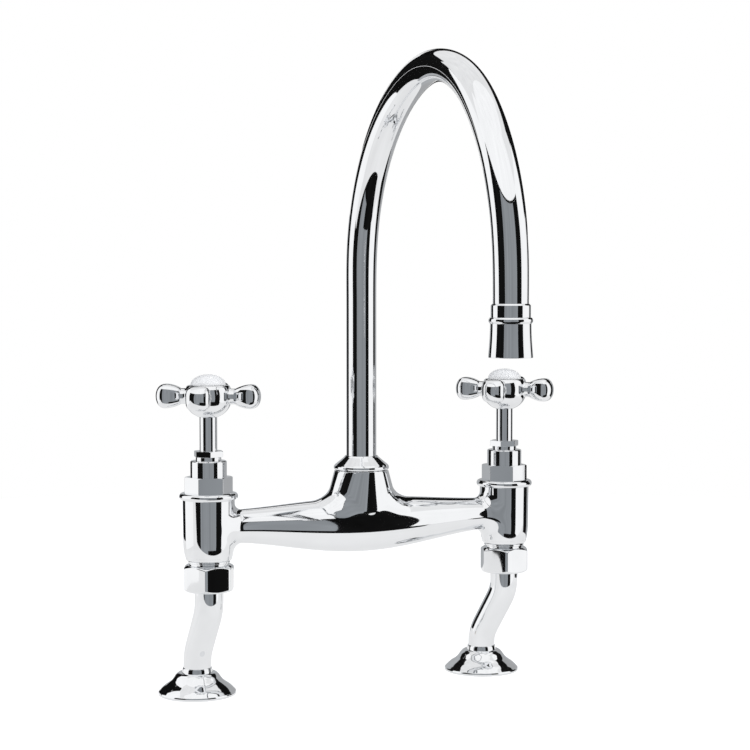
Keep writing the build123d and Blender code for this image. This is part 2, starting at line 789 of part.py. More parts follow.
def leg():
    """Cranked tube with a flat collar for the union nut."""
    path = leg_path()
    start = Plane(origin=path @ 0, z_dir=(0, 0, -1))
    outside = sweep(start * Circle(leg_radius), path=path)
    inside = sweep(start * Circle(leg_bore_radius), path=path)
    collar = rod(leg_collar_radius, leg_collar_z, leg_top_z)
    return outside + collar - inside - rod(leg_bore_radius, leg_collar_z - 1, leg_top_z + 1)


def tail():
    """Threaded tail that the leg is brazed into; its shoulder bears on the worktop.

    A relief groove parts the thread of the clamp from the thread of the supply hose.
    """
    relief_high = backnut_top_z() - backnut_height - hose_thread_clearance
    relief_low = relief_high - thread_relief_height
    relief_radius = tail_radius - thread_relief_depth
    low = relief_low - hose_thread_length - tail_chamfer
    cone = tail_collar_top - tail_collar_height
    shoulder = gasket_height + tail_shoulder_height
    socket = leg_radius + slip_gap
    return lathe(
        (tail_bore_radius, low), (tail_radius - tail_chamfer, low),
        (tail_radius, low + tail_chamfer), (tail_radius, relief_low),
        (relief_radius, relief_low), (relief_radius, relief_high),
        (tail_radius, relief_high),
        (tail_radius, gasket_height), (tail_shoulder_radius, gasket_height),
        (tail_shoulder_radius, shoulder), (tail_collar_radius, shoulder),
        (tail_collar_radius, cone), (socket + 0.05, tail_collar_top), (socket, tail_collar_top),
        (socket, leg_foot_z), (tail_bore_radius, leg_foot_z))


def deck_flange():
    """Bell-shaped cover around the tail's shoulder: an ogee from a small crown to the rim."""
    bore = tail_collar_radius + slip_gap
    crown, high = flange_crown_radius, flange_crown_height
    hip = (crown + 3.3, high - 2.3)
    edge = (flange_radius - 0.9, flange_rim)
    outer = turned(
        Line((0, 0), (flange_radius, 0)),
        Line((flange_radius, 0), (flange_radius, flange_rim - 0.8)),
        Line((flange_radius, flange_rim - 0.8), edge),
        Spline(edge, hip, (crown, high), tangents=[(-1, 0.45), (-1, 0.1)]),
        Line((crown, high), (0, high)),
        Line((0, high), (0, 0)))
    shoulder_room = tail_shoulder_radius + 0.6
    inner = turned(
        Line((0, -1), (flange_radius - flange_wall, -1)),
        Line((flange_radius - flange_wall, -1), (flange_radius - flange_wall, 0.6)),
        Line((flange_radius - flange_wall, 0.6), (shoulder_room, flange_rim + 3.8)),
        Line((shoulder_room, flange_rim + 3.8), (bore + 1.2, high - 3.4)),
        Line((bore + 1.2, high - 3.4), (0, high - 3.4)),
        Line((0, high - 3.4), (0, -1)))
    return outer - inner - rod(bore, -1, high + 1)


def shoulder_gasket():
    """Rubber ring between the tail's shoulder and the worktop."""
    return tube_ring(tail_shoulder_radius, tail_radius + slip_gap, 0, gasket_height)


def deck_gasket():
    """Rubber ring under the worktop."""
    return tube_ring(clamp_washer_radius, tail_radius + slip_gap, -worktop - gasket_height,
                     -worktop)


def clamp_washer():
    """Steel washer between the lower gasket and the backnut."""
    top = -worktop - gasket_height
    return tube_ring(clamp_washer_radius, tail_radius + slip_gap, top - clamp_washer_height, top)


def backnut_top_z():
    """Upper face of the backnut, under the clamp washer."""
    return -worktop - gasket_height - clamp_washer_height


def backnut():
    """Hexagon nut that clamps the tail to the worktop from below."""
    top = backnut_top_z()
    nut = hexagon(backnut_flats, top - backnut_height, top, 0)
    return nut - rod(tail_radius + slip_gap, top - backnut_height - 1, top + 1)


# ---------------------------------------------------------------- writing the nodes
def main():
    os.makedirs("parts", exist_ok=True)
    write("bridge_body", bridge_body())
    write("spout_collar", spout_collar())
    write("thrust_washers", *thrust_washers())

    tube, tip = spout_tube()
    at_tip = Pos(0, tip.Y, 0)
    write("spout_tube", tube)
    write("spout_spigot", spout_spigot())
    write("spout_seal_rings", *[round_ring(ring_radius(), ring_section, z)
                                for z in ring_heights()])
    write("outlet_sleeve", at_tip * outlet_sleeve())
    write("outlet_shroud", at_tip * outlet_shroud())
    write("aerator", at_tip * aerator())
    seal_top = outlet_low_z() + shroud_height - shroud_thread_length
    write("aerator_seal", at_tip * tube_ring(
        aerator_radius, aerator_radius - 2.0, seal_top - aerator_seal_height, seal_top))

    for side, x in valve_x.items():
        valve = Pos(x, 0, 0)
        write(f"{side}_bonnet", valve * bonnet(side))
        write(f"{side}_bonnet_ring", valve * bonnet_ring())
        write(f"{side}_gland_nut", valve * gland_nut(side))
        write(f"{side}_gland_seal", valve * gland_seal())
        write(f"{side}_seat_seal", valve * seat_seal())
        write(f"{side}_fixed_disc", valve * fixed_disc())

        turned_valve = valve * Rot(0, 0, handle_turn[side])
        write(f"{side}_moving_disc", valve * moving_disc())
        write(f"{side}_spindle", valve * spindle(side))
        write(f"{side}_handle", turned_valve * Pos(0, 0, handle_z) * handle())
        write(f"{side}_handle_screw", valve * handle_screw())
        write(f"{side}_handle_cap", valve * handle_cap())

        write(f"{side}_union_nut", valve * union_nut(side))
        write(f"{side}_union_washer", valve * union_washer())
        cranked = valve * Rot(0, 0, leg_turn[side])
        under_tail = cranked * Pos(0, leg_crank, 0)
        write(f"{side}_leg", cranked * leg())
        write(f"{side}_tail", under_tail * tail())
        write(f"{side}_deck_flange", under_tail * deck_flange())
        write(f"{side}_shoulder_gasket", under_tail * shoulder_gasket())
        write(f"{side}_deck_gasket", under_tail * deck_gasket())
        write(f"{side}_clamp_washer", under_tail * clamp_washer())
        write(f"{side}_backnut", under_tail * backnut())


main()
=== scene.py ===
import json
from math import atan2, cos, pi, radians, sin, sqrt, tan

import bpy
import numpy as np
from bpy.props import FloatProperty, FloatVectorProperty, IntProperty, PointerProperty
from bpy.types import Operator, Panel, PropertyGroup
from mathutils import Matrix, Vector


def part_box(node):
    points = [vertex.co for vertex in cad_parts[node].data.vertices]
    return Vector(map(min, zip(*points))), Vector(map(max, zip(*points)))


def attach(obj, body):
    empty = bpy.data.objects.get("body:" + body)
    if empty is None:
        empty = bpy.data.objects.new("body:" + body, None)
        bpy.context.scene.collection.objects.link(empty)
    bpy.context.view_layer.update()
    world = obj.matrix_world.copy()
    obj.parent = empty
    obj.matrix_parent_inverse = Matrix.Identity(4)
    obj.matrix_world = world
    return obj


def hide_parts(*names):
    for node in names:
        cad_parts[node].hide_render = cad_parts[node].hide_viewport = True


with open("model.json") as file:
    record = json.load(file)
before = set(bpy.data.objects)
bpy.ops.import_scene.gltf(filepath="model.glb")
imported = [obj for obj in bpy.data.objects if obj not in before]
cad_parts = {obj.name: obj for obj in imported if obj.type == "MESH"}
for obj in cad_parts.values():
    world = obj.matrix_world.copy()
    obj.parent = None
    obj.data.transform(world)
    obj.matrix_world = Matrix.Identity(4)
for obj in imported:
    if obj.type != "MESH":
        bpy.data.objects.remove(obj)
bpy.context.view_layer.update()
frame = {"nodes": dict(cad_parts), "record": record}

bl_info = {
    "name": "Bridge tap dressing",
    "version": (1, 0, 0),
    "blender": (4, 5, 0),
    "location": "View3D > Sidebar > Bridge tap",
    "description": "Polished skins, porcelain caps and a plain studio for a two-hole bridge tap",
    "category": "Add Mesh",
}

MM = 0.001       # the tap's own lengths are in millimetres, and the studio's in metres
SIDES = ("hot", "cold")


# ------------------------------------------------------------------ places read from the frame
def low(node):
    """Lowest corner of a node's box, in millimetres."""
    return np.array(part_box(node)[0]) / MM


def high(node):
    """Highest corner of a node's box, in millimetres."""
    return np.array(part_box(node)[1]) / MM


def middle(node):
    """Middle of a node's box, in millimetres."""
    return (low(node) + high(node)) / 2


AXIS = {side: middle(f"{side}_bonnet_ring")[:2] for side in SIDES}
TAIL = {side: middle(f"{side}_tail")[:2] for side in SIDES}
OUTLET = middle("outlet_sleeve")[:2]
SWIVEL = middle("spout_collar")[:2]
BARREL_TOP = high("hot_bonnet_ring")[2] + 0.05
BOSS_TOP = high("bridge_body")[2]
CASTING = BOSS_TOP - 10.8      # level that the casting's heights are measured from
BOSS_RADIUS = 17.1
TUBE_RADIUS, TUBE_BORE = 9.525, 8.3
THREAD_RADIUS = 10.4775
ARM_REACH = 32.85
HANDLE_TURN = {"hot": -30.5, "cold": -42.0}
BONNET_TURN = {"hot": -11.4, "cold": -34.3}
GLAND_TURN = {"hot": 20.3, "cold": -10.1}
UNION_TURN = {"hot": 5.1, "cold": 11.6}


# ------------------------------------------------------------------ settings
class ShapeSettings(PropertyGroup):
    edge: FloatProperty(
        name="Turned edge", description="Radius polished onto the edges of turned pieces, mm",
        default=0.35, min=0.05, max=1.0)
    nut_edge: FloatProperty(
        name="Nut edge", description="Radius polished onto the union nuts' edges, mm",
        default=0.9, min=0.1, max=2.0)
    hex_edge: FloatProperty(
        name="Headwork edge", description="Radius left on the headworks' hexagons, mm",
        default=0.3, min=0.1, max=1.0)
    cast_blend: FloatProperty(
        name="Cast blend", description="Radius where arms and boss run into each other, mm",
        default=8.0, min=2.0, max=16.0)
    barrel_blend: FloatProperty(
        name="Barrel blend", description="Radius where the arms run into the barrels, mm",
        default=5.5, min=1.0, max=8.0)
    casting_grain: FloatProperty(
        name="Skin step", description="Size of the faces on the bridge's skin, mm",
        default=1.0, min=0.5, max=3.0)
    tube_flatten: FloatProperty(
        name="Bend flattening", description="How much the bent tube spreads sideways, as a share",
        default=0.02, min=0.0, max=0.03)
    leg_taper: FloatProperty(
        name="Leg taper", description="How much thinner a leg is at its foot, mm on the radius",
        default=0.4, min=0.0, max=1.0)
    round_steps: IntProperty(
        name="Round steps", description="Faces around a turned piece",
        default=128, min=24, max=360)


class FinishSettings(PropertyGroup):
    chrome: FloatVectorProperty(
        name="Chrome", description="Colour of the polished chrome plate", subtype="COLOR",
        size=4, default=(0.88, 0.89, 0.905, 1.0), min=0.0, max=1.0)
    chrome_roughness: FloatProperty(
        name="Chrome roughness", description="Blur of the reflections in the chrome",
        default=0.035, min=0.0, max=0.5)
    porcelain: FloatVectorProperty(
        name="Porcelain", description="Colour of the caps under their glaze", subtype="COLOR",
        size=4, default=(0.9, 0.9, 0.895, 1.0), min=0.0, max=1.0)
    brass: FloatVectorProperty(
        name="Brass", description="Colour of the unplated brass", subtype="COLOR",
        size=4, default=(0.72, 0.53, 0.25, 1.0), min=0.0, max=1.0)
    rubber: FloatVectorProperty(
        name="Rubber", description="Colour of seals and gaskets", subtype="COLOR",
        size=4, default=(0.028, 0.028, 0.03, 1.0), min=0.0, max=1.0)


class StudioSettings(PropertyGroup):
    background: FloatVectorProperty(
        name="Background", description="Colour behind and under the tap", subtype="COLOR",
        size=4, default=(1.0, 1.0, 1.0, 1.0), min=0.0, max=1.0)
    panel_white: FloatProperty(
        name="White panels", description="Brightness of the white reflector panels",
        default=1.04, min=0.0, max=3.0)
    panel_grey: FloatProperty(
        name="Grey panel", description="Brightness of the grey room seen in the chrome",
        default=0.30, min=0.0, max=1.0)
    panel_black: FloatProperty(
        name="Black panels", description="Brightness of the black cloths",
        default=0.006, min=0.0, max=0.2)
    floor_reach: FloatProperty(
        name="Floor reach", description="Radius of the pale floor", default=1.1, min=0.3,
        max=5.0, unit="LENGTH")


# ------------------------------------------------------------------ surfaces
def rounded(corners, radii, steps=5):
    """Path through corners whose inner corners become arcs.

    An arc of radius R at a corner that turns by t touches both sides R*tan(t/2) from it, and
    never takes more than 0.49 of a side. corners is (..., n, 2); returns points and unit
    tangents, both (..., m, 2).
    """
    c = np.asarray(corners, float)
    side = np.diff(c, axis=-2)
    length = np.linalg.norm(side, axis=-1)
    heading = np.arctan2(side[..., 1], side[..., 0])
    turn = (np.diff(heading, axis=-1) + pi) % (2 * pi) - pi
    half = np.maximum(np.abs(np.tan(turn / 2)), 1e-9)
    room = 0.49 * np.minimum(length[..., :-1], length[..., 1:])
    reach = np.minimum(np.broadcast_to(radii, turn.shape) * half, room)
    radius = reach / half
    t = np.linspace(0, 1, steps + 1)
    before = heading[..., :-1, None]
    angle = before + turn[..., None] * t
    start = c[..., 1:-1, :] - reach[..., None] * np.stack(
        [np.cos(heading[..., :-1]), np.sin(heading[..., :-1])], -1)
    bend = (radius * np.sign(turn))[..., None]
    x = start[..., 0, None] + bend * (np.sin(angle) - np.sin(before))
    y = start[..., 1, None] + bend * (np.cos(before) - np.cos(angle))
    flat = x.shape[:-2] + (-1,)
    arcs = np.stack([x.reshape(flat), y.reshape(flat)], -1)
    along = np.stack([np.cos(angle).reshape(flat), np.sin(angle).reshape(flat)], -1)
    ends = np.stack([np.cos(heading), np.sin(heading)], -1)
    points = np.concatenate([c[..., :1, :], arcs, c[..., -1:, :]], -2)
    tangents = np.concatenate([ends[..., :1, :], along, ends[..., -1:, :]], -2)
    return points, tangents


def grid(points, normals, around=True, along=False):
    """Vertices, faces and normals of a grid of points (rows, columns, 3).

    Faces are a pair: an array of quads and one of triangles.
    Columns close on themselves when around is set, and rows when along is set. A row whose
    points all meet becomes one pole with a fan of triangles.
    """
    columns = points.shape[1]
    pole = (np.ptp(points, axis=1) < 1e-7).all(-1)
    count = np.where(pole, 1, columns)
    first = np.concatenate([[0], np.cumsum(count)[:-1]])
    index = first[:, None] + np.where(pole[:, None], 0, np.arange(columns)[None, :])
    keep = np.where(pole[:, None], np.arange(columns)[None, :] == 0, True)
    a = index if along else index[:-1]
    b = np.roll(index, -1, 0) if along else index[1:]
    pole_a = pole if along else pole[:-1]
    pole_b = np.roll(pole, -1) if along else pole[1:]
    if around:
        a2, b2 = np.roll(a, -1, 1), np.roll(b, -1, 1)
    else:
        a, a2, b, b2 = a[:, :-1], a[:, 1:], b[:, :-1], b[:, 1:]
    quads = np.stack([a, a2, b2, b], -1)[~(pole_a | pole_b)].reshape(-1, 4)
    fans = (np.stack([a, b2, b], -1)[pole_a & ~pole_b],
            np.stack([a, a2, b], -1)[pole_b & ~pole_a])
    unit = normals / np.maximum(np.linalg.norm(normals, axis=-1, keepdims=True), 1e-12)
    return points[keep], (quads, np.concatenate(fans).reshape(-1, 3)), unit[keep]


def joined(*parts):
    """Several grids as one: vertices, faces and normals."""
    vertices, faces, normals = zip(*parts)
    first = np.cumsum([0] + [len(v) for v in vertices[:-1]])
    quads, triangles = (np.concatenate([f[kind] + start for f, start in zip(faces, first)])
                        for kind in (0, 1))
    return np.concatenate(vertices), (quads, triangles), np.concatenate(normals)


def moved(part, turn=None, place=(0, 0, 0)):
    """A grid turned by a 3 by 3 matrix and then moved."""
    v, f, n = part
    turn = np.eye(3) if turn is None else turn
    return v @ turn.T + np.asarray(place, float), f, n @ turn.T


def about_z(angle):
    """Matrix of a turn about +Z, in degrees."""
    c, s = cos(radians(angle)), sin(radians(angle))
    return np.array([[c, -s, 0], [s, c, 0], [0, 0, 1.0]])


def full_turn(steps):
    """Angles of a whole turn, without its end."""
    return np.linspace(0, 2 * pi, steps, endpoint=False)


def ring_points(radius, height, turns, centre=(0, 0)):
    """Points round an upright axis; radius and height are numbers, columns or whole grids."""
    angle = full_turn(turns)
    radius = radius + 0 * angle
    return np.stack([radius * np.cos(angle) + centre[0], radius * np.sin(angle) + centre[1],
                     height + 0 * radius], -1)


def crossed_normals(points):
    """Normals of a grid that closes on itself: its steps around crossed with those along."""
    around = np.roll(points, -1, 1) - np.roll(points, 1, 1)
    return np.cross(around, np.gradient(points, axis=0))


def mesh_object(name, vertices, faces, *materials):
    """New object in the scene from vertices in metres and a pair of quads and triangles."""
    mesh = bpy.data.meshes.new(name)
    mesh.from_pydata(vertices.tolist(), [], faces[0].tolist() + faces[1].tolist())
    for material in materials:
        mesh.materials.append(material)
    obj = bpy.data.objects.new(name, mesh)
    bpy.context.scene.collection.objects.link(obj)
    return obj


def piece(name, part, body, material, node):
    """A finished piece from a grid in millimetres, shaded with the formula's own normals."""
    vertices, faces, normals = part
    obj = mesh_object(name, vertices * MM, faces, material)
    mesh = obj.data
    mesh.polygons.foreach_set("use_smooth", np.ones(len(mesh.polygons), bool))
    if mesh.validate(verbose=False):
        raise RuntimeError(f"{name}: the mesh needed repair")
    mesh.normals_split_custom_set_from_vertices(normals.tolist())
    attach(obj, body)
    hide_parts(node)
    return obj


def lathe(corners, radii, centre=(0, 0), steps=5, turns=None, closed=False):
    """Surface of revolution: a half section in (radius, height), carried round +Z.

    The half section runs up the outside, so that its left-hand side is the metal. With closed
    set, it is a ring's whole section and starts in the middle of its last side.
    """
    turns = turns or bpy.context.scene.tap_shape.round_steps
    c = np.asarray(corners, float)
    r = np.broadcast_to(radii, len(c) if closed else len(c) - 2)
    if closed:
        seam = (c[0] + c[-1]) / 2
        c = np.concatenate([[seam], c, [seam]])
    p, t = rounded(c, r, steps)
    if closed:
        p, t = p[:-1], t[:-1]
    points = ring_points(p[:, :1], p[:, 1:], turns, centre)
    normals = ring_points(t[:, 1:], -t[:, :1], turns)
    return grid(points, normals, along=closed)


def outline_of_hexagon(flats, corner, crown, flat_steps=14, corner_steps=12):
    """Hexagon with crowned flats and rounded corners, from its heading.

    From the middle of a flat, the heading turns by crown degrees times the cube of the share
    of the half flat. Round the corner it turns by the rest, at radius corner. The heading is
    summed to places, which are scaled to the size across flats and turned six times.
    """
    crown = radians(crown)
    half = (flats / 2 - corner) * tan(pi / 6)
    arc = corner * (pi / 3 - 2 * crown)
    place = np.concatenate([np.linspace(0, half, flat_steps, endpoint=False),
                            half + np.linspace(0, arc, corner_steps, endpoint=False),
                            half + arc + np.linspace(0, half, flat_steps + 1)])
    first = crown * np.clip(place / half, 0, 1) ** 3
    last = crown * np.clip((2 * half + arc - place) / half, 0, 1) ** 3
    heading = np.where(place < half + arc, first + np.clip(place - half, 0, arc) / corner,
                       pi / 3 - last)
    mean = (heading[1:] + heading[:-1]) / 2
    step = np.diff(place)
    x = np.concatenate([[0], np.cumsum(-np.sin(mean) * step)])
    y = np.concatenate([[0], np.cumsum(np.cos(mean) * step)])
    size = flats / 2 / np.hypot(x[-1], y[-1])
    x, y = flats / 2 + x[:-1] * size, y[:-1] * size
    turn = (np.arange(6) * pi / 3)[:, None]
    return ((x * np.cos(turn) - y * np.sin(turn)).ravel(),
            (x * np.sin(turn) + y * np.cos(turn)).ravel())


def hexagon_nut(flats, bottom, top, bore, corner, edge, touch_low, touch_high, slope=30.0,
                crown=1.0):
    """Nut about +Z with turned-off corners.

    Around it goes a hexagon with rounded corners. At each point of that outline, the section
    in (radius, height) is the bore, the lower face out to touch_low, a cone at slope degrees,
    the flat, and the same again upwards; each corner of the section is an arc of radius edge.
    Normals are the cross product of the steps along both directions.
    """
    x, y = outline_of_hexagon(flats, corner, crown)
    radius = np.hypot(x, y)
    fall = tan(radians(slope))
    one = np.ones_like(radius)
    low_r, high_r = touch_low * one, touch_high * one
    low_z = bottom + np.maximum(radius - low_r, 0) * fall
    high_z = top - np.maximum(radius - high_r, 0) * fall
    low_r, high_r = np.minimum(low_r, radius - 0.02), np.minimum(high_r, radius - 0.02)
    corners = [(bore * one, (bottom + top) / 2 * one), (bore * one, bottom * one),
               (low_r, bottom * one), (radius, low_z), (radius, high_z),
               (high_r, top * one), (bore * one, top * one),
               (bore * one, (bottom + top) / 2 * one)]
    section = np.stack([np.stack(c, -1) for c in corners], 1)
    p, t = rounded(section, [0.25, edge, edge, edge, edge, 0.25], 5)
    p, t = p[:, :-1], t[:, :-1]
    ux, uy = (x / radius)[:, None], (y / radius)[:, None]
    points = np.stack([p[..., 0] * ux, p[..., 0] * uy, p[..., 1]], -1)
    along = np.stack([t[..., 0] * ux, t[..., 0] * uy, t[..., 1]], -1)
    around = np.roll(points, -1, 0) - np.roll(points, 1, 0)
    normals = np.cross(around, along)
    return grid(points.transpose(1, 0, 2), normals.transpose(1, 0, 2), along=True)


def smooth_path(runs, start, blend=26.0, step=1.5):
    """Centre line in a vertical plane, from its curvature.

    runs are (length, turn in radians). The curvature, turn/length along each run, is averaged
    over a window of blend millimetres, then summed to the heading and the heading to the place.
    Returns (n, 2) places as (across, up), the headings from straight up and the distances.
    """
    total = sum(length for length, turn in runs)
    count = int(total / step) + 1
    s = np.linspace(0, total, count * 8 + 1)
    edges = np.concatenate([[0], np.cumsum([length for length, turn in runs])])
    bend = np.concatenate([[0], np.cumsum([turn for length, turn in runs])])
    heading_at = np.interp(s[:, None] + np.linspace(-blend / 2, blend / 2, 33)[None, :],
                           edges, bend)
    heading = heading_at.mean(1)
    ds = s[1] - s[0]
    across = np.concatenate([[0], np.cumsum((np.sin(heading[1:]) + np.sin(heading[:-1])) / 2)])
    up = np.concatenate([[0], np.cumsum((np.cos(heading[1:]) + np.cos(heading[:-1])) / 2)])
    place = np.stack([across * ds + start[0], up * ds + start[1]], -1)
    return place[::8], heading[::8], s[::8]


def swept_tube(place, heading, radius_across, radius_in_plane, bore, turns):
    """Tube along a centre line in the plane of (forward, up), with both ends closed to bore.

    A ring of radius_across sideways and radius_in_plane in the plane stands at right angles to
    the centre line at each place; x is sideways, and forward and up come from the centre line.
    """
    side, lift = np.cos(full_turn(turns))[None, :], np.sin(full_turn(turns))[None, :]
    ra, rp = radius_across[:, None], radius_in_plane[:, None]
    out_f, out_u = np.cos(heading)[:, None], -np.sin(heading)[:, None]
    forward, up = place[:, 0, None], place[:, 1, None]
    points = np.stack([ra * side, forward + rp * lift * out_f, up + rp * lift * out_u], -1)
    normals = np.stack([side / ra * rp, lift * out_f, lift * out_u], -1)
    ends = []
    for row, sign in ((0, -1), (-1, 1)):
        flat = np.array([0, np.sin(heading[row]), np.cos(heading[row])]) * sign
        centre = np.array([0, place[row, 0], place[row, 1]])
        rim = points[row]
        inner = centre + (rim - centre) * (bore / radius_across[row])
        ring = np.stack([centre + 0 * rim, inner, rim] if sign < 0 else
                        [rim, inner, centre + 0 * rim])
        ends.append(grid(ring, np.broadcast_to(flat, ring.shape)))
    return joined(grid(points, normals), *ends)


# ------------------------------------------------------------------ bridge casting
def round_join(a, b, radius):
    """Union of two distance fields with a round fillet where both surfaces cross."""
    return np.maximum(radius, np.minimum(a, b)) - np.hypot(
        np.maximum(radius - a, 0), np.maximum(radius - b, 0))


def arm_shape(x):
    """Radius of the arms and height of their centre line at a place across the tap.

    Both follow cos(pi/2 * x/84)^1.5, so the arms swell and sag towards the middle.
    """
    share = np.cos(pi / 2 * np.minimum(np.abs(x) / 84.0, 1.0)) ** 1.5
    return 10.4 + 6.9 * share, CASTING - 21.5 - 2.7 * share


def casting_field(p):
    """Distance to the bridge's skin: swelling arms, an oval flared boss, and two barrels.

    The arms are the tube of arm_shape. The boss is an elliptic cone, wider along the arms.
    Their fillet shrinks to nothing where the two surfaces run side by side.
    """
    shape = bpy.context.scene.tap_shape
    x, y, z = p[..., 0], p[..., 1], p[..., 2]
    radius, height = arm_shape(x)
    aside = np.abs(x) - AXIS["cold"][0]
    away = np.hypot(y, z - height)
    arm = np.maximum(away - radius, aside + 4)
    drop = np.clip(BOSS_TOP - z, 0, 40)
    inside = np.clip((drop - 24) / 14, 0, 1)
    shrink = 4.0 * inside * inside * (3 - 2 * inside)
    wide = BOSS_RADIUS + 0.30 * np.minimum(drop, 24) - 1.5 * shrink
    deep = BOSS_RADIUS - shrink
    boss = (np.sqrt((x / wide) ** 2 + (y / deep) ** 2) - 1) * deep
    boss = np.maximum(boss, (BOSS_TOP - 36.0) - z)
    facing = np.abs(y) / np.maximum(away, 1e-6) * np.abs(y) / np.maximum(np.hypot(x, y), 1e-6)
    blend = shape.cast_blend * np.clip(1.6 * (1 - facing), 0.001, 1.0)
    body = np.maximum(round_join(arm, boss, blend), z - BOSS_TOP)
    barrel = np.hypot(aside, y) - barrel_radius(z)
    return round_join(body, barrel, shape.barrel_blend)


def barrel_radius(z):
    """Radius of a valve barrel at a height: a slight taper, then a foot that curves in."""
    down = CASTING - z
    foot = np.clip((down - 28.0) / 15.0, 0, 1.2)
    return 16.0 - 0.011 * (down - 4.4) - 2.1 * foot ** 2.4


def bridge_skin():
    """Skin of the arms, the boss and the barrels' walls as one closed surface.

    A rough rod, a flared boss, two barrels and four small balls in the corners between arms and
    boss are joined by a voxel remesh. Each vertex then slides along the field's slope onto the
    zero of casting_field, and takes that slope as its normal.
    """
    end = AXIS["cold"][0] - 6
    along = np.linspace(-end, end, 49)
    radius, height = (values[:, None] for values in arm_shape(along))
    angle = full_turn(48)
    ring = np.stack([along[:, None] + 0 * angle, radius * np.cos(angle),
                     height - radius * np.sin(angle)], -1)
    caps = np.stack([ring[0].mean(0) + 0 * ring[0], ring[-1].mean(0) + 0 * ring[-1]])
    rod = grid(np.concatenate([caps[:1], ring, caps[1:]]), np.ones((51, 48, 3)))
    flare = lathe([(0, BOSS_TOP - 30), (17.5, BOSS_TOP - 30), (18.5, BOSS_TOP - 16),
                   (BOSS_RADIUS, BOSS_TOP), (0, BOSS_TOP)], 0.1, steps=1, turns=64)
    z = np.linspace(CASTING - 41.0, BARREL_TOP - 3.6, 24)
    wall = [(0, z[0]), *np.stack([barrel_radius(z), z], -1), (0, z[-1])]
    barrels = [lathe(wall, 0.1, AXIS[side], 1, 64) for side in SIDES]
    balls = []
    for sign in (-1, 1):
        for across, size, down in ((17.85, 5.0, 21.0), (19.975, 4.0, 22.0)):
            ball = lathe([(0, -size), (size * 0.7, -size * 0.7), (size, 0),
                          (size * 0.7, size * 0.7), (0, size)], size, turns=24)
            balls.append(moved(ball, place=(sign * across, 0, BOSS_TOP - down)))
    vertices, faces, _ = joined(rod, flare, *balls, *barrels)
    holder = mesh_object("rough_bridge", vertices * MM, faces)
    remesh = holder.modifiers.new("skin", "REMESH")
    remesh.mode = "VOXEL"
    remesh.voxel_size = bpy.context.scene.tap_shape.casting_grain * MM
    evaluated = holder.evaluated_get(bpy.context.evaluated_depsgraph_get())
    skin = bpy.data.meshes.new_from_object(evaluated)
    if len(skin.loops) != 4 * len(skin.polygons):
        raise RuntimeError("bridge: the remesh left faces that aren't quads")
    points = np.empty(len(skin.vertices) * 3)
    skin.vertices.foreach_get("co", points)
    points = points.reshape(-1, 3) / MM
    corners = np.empty(len(skin.loops), np.int32)
    skin.loops.foreach_get("vertex_index", corners)
    rough = holder.data
    bpy.data.objects.remove(holder)
    bpy.data.meshes.remove(rough)
    bpy.data.meshes.remove(skin)
    low_end, high_end = CASTING - 40.6, BARREL_TOP - 4.0
    at_barrel = np.abs(np.abs(points[:, 0]) - AXIS["cold"][0]) < 17
    fixed = at_barrel & ((points[:, 2] < low_end) | (points[:, 2] > high_end))
    fixed |= points[:, 2] > BOSS_TOP - 0.6
    for _ in range(12):
        value, slope = field_and_slope(points)
        step = np.where(fixed, 0, np.clip(value, -1.5, 1.5))
        points = points - step[:, None] * slope
    faces = corners.reshape(-1, 4), np.empty((0, 3), np.int32)
    return points, faces, field_and_slope(points)[1]


def field_and_slope(points):
    """Value of casting_field and its unit slope, by differences of 0.02 mm."""
    value = casting_field(points)
    slope = np.empty_like(points)
    for k in range(3):
        nudge = np.zeros(3)
        nudge[k] = 0.02
        slope[:, k] = casting_field(points + nudge) - casting_field(points - nudge)
    size = np.linalg.norm(slope, axis=1, keepdims=True)
    scale = np.maximum(size[:, 0] / 0.04, 0.3)
    return value / scale, slope / np.maximum(size, 1e-9)


def barrel_skin(side):
    """Turned ends of one barrel: the spigot and foot below, and the bead on top."""
    top, cast = BARREL_TOP, CASTING
    level = cast - np.array([41.0, 40.4, 39.8, 39.2])
    wall = np.stack([barrel_radius(level) + 0.01, level], -1)
    foot = low("bridge_body")[2]
    below = lathe([(0, foot), (12.2, foot), (12.2, cast - 42.8), (13.0, cast - 42.8),
                   (13.0, cast - 41.5), (13.6, cast - 41.5), *wall, (0, level[-1])],
                  [0.3, 0.2, 0.2, 0.2, 0.1, 0.3, 20, 20, 0.05], AXIS[side], steps=4)
    bead = lathe([(0, top - 4.5), (16.1, top - 4.5), (17.1, top - 4.2), (17.9, top - 3.4),
                  (18.15, top - 2.3), (17.9, top - 1.2), (17.1, top - 0.35), (15.2, top),
                  (0, top)], [0.4, 1.2, 1.8, 1.8, 1.8, 1.8, 1.0], AXIS[side], steps=5)
    return joined(below, bead)


class TAP_OT_bridge(Operator):
    """Skins the bridge casting and its two valve barrels in polished chrome"""
    bl_idname = "tap.bridge"
    bl_label = "Bridge casting"

    def execute(self, context):
        chrome = chrome_plate("cast_chrome", 1.0)
        casting = joined(bridge_skin(), barrel_skin("hot"), barrel_skin("cold"))
        piece("bridge_casting", casting, "bridge", chrome, "bridge_body")
        return {"FINISHED"}


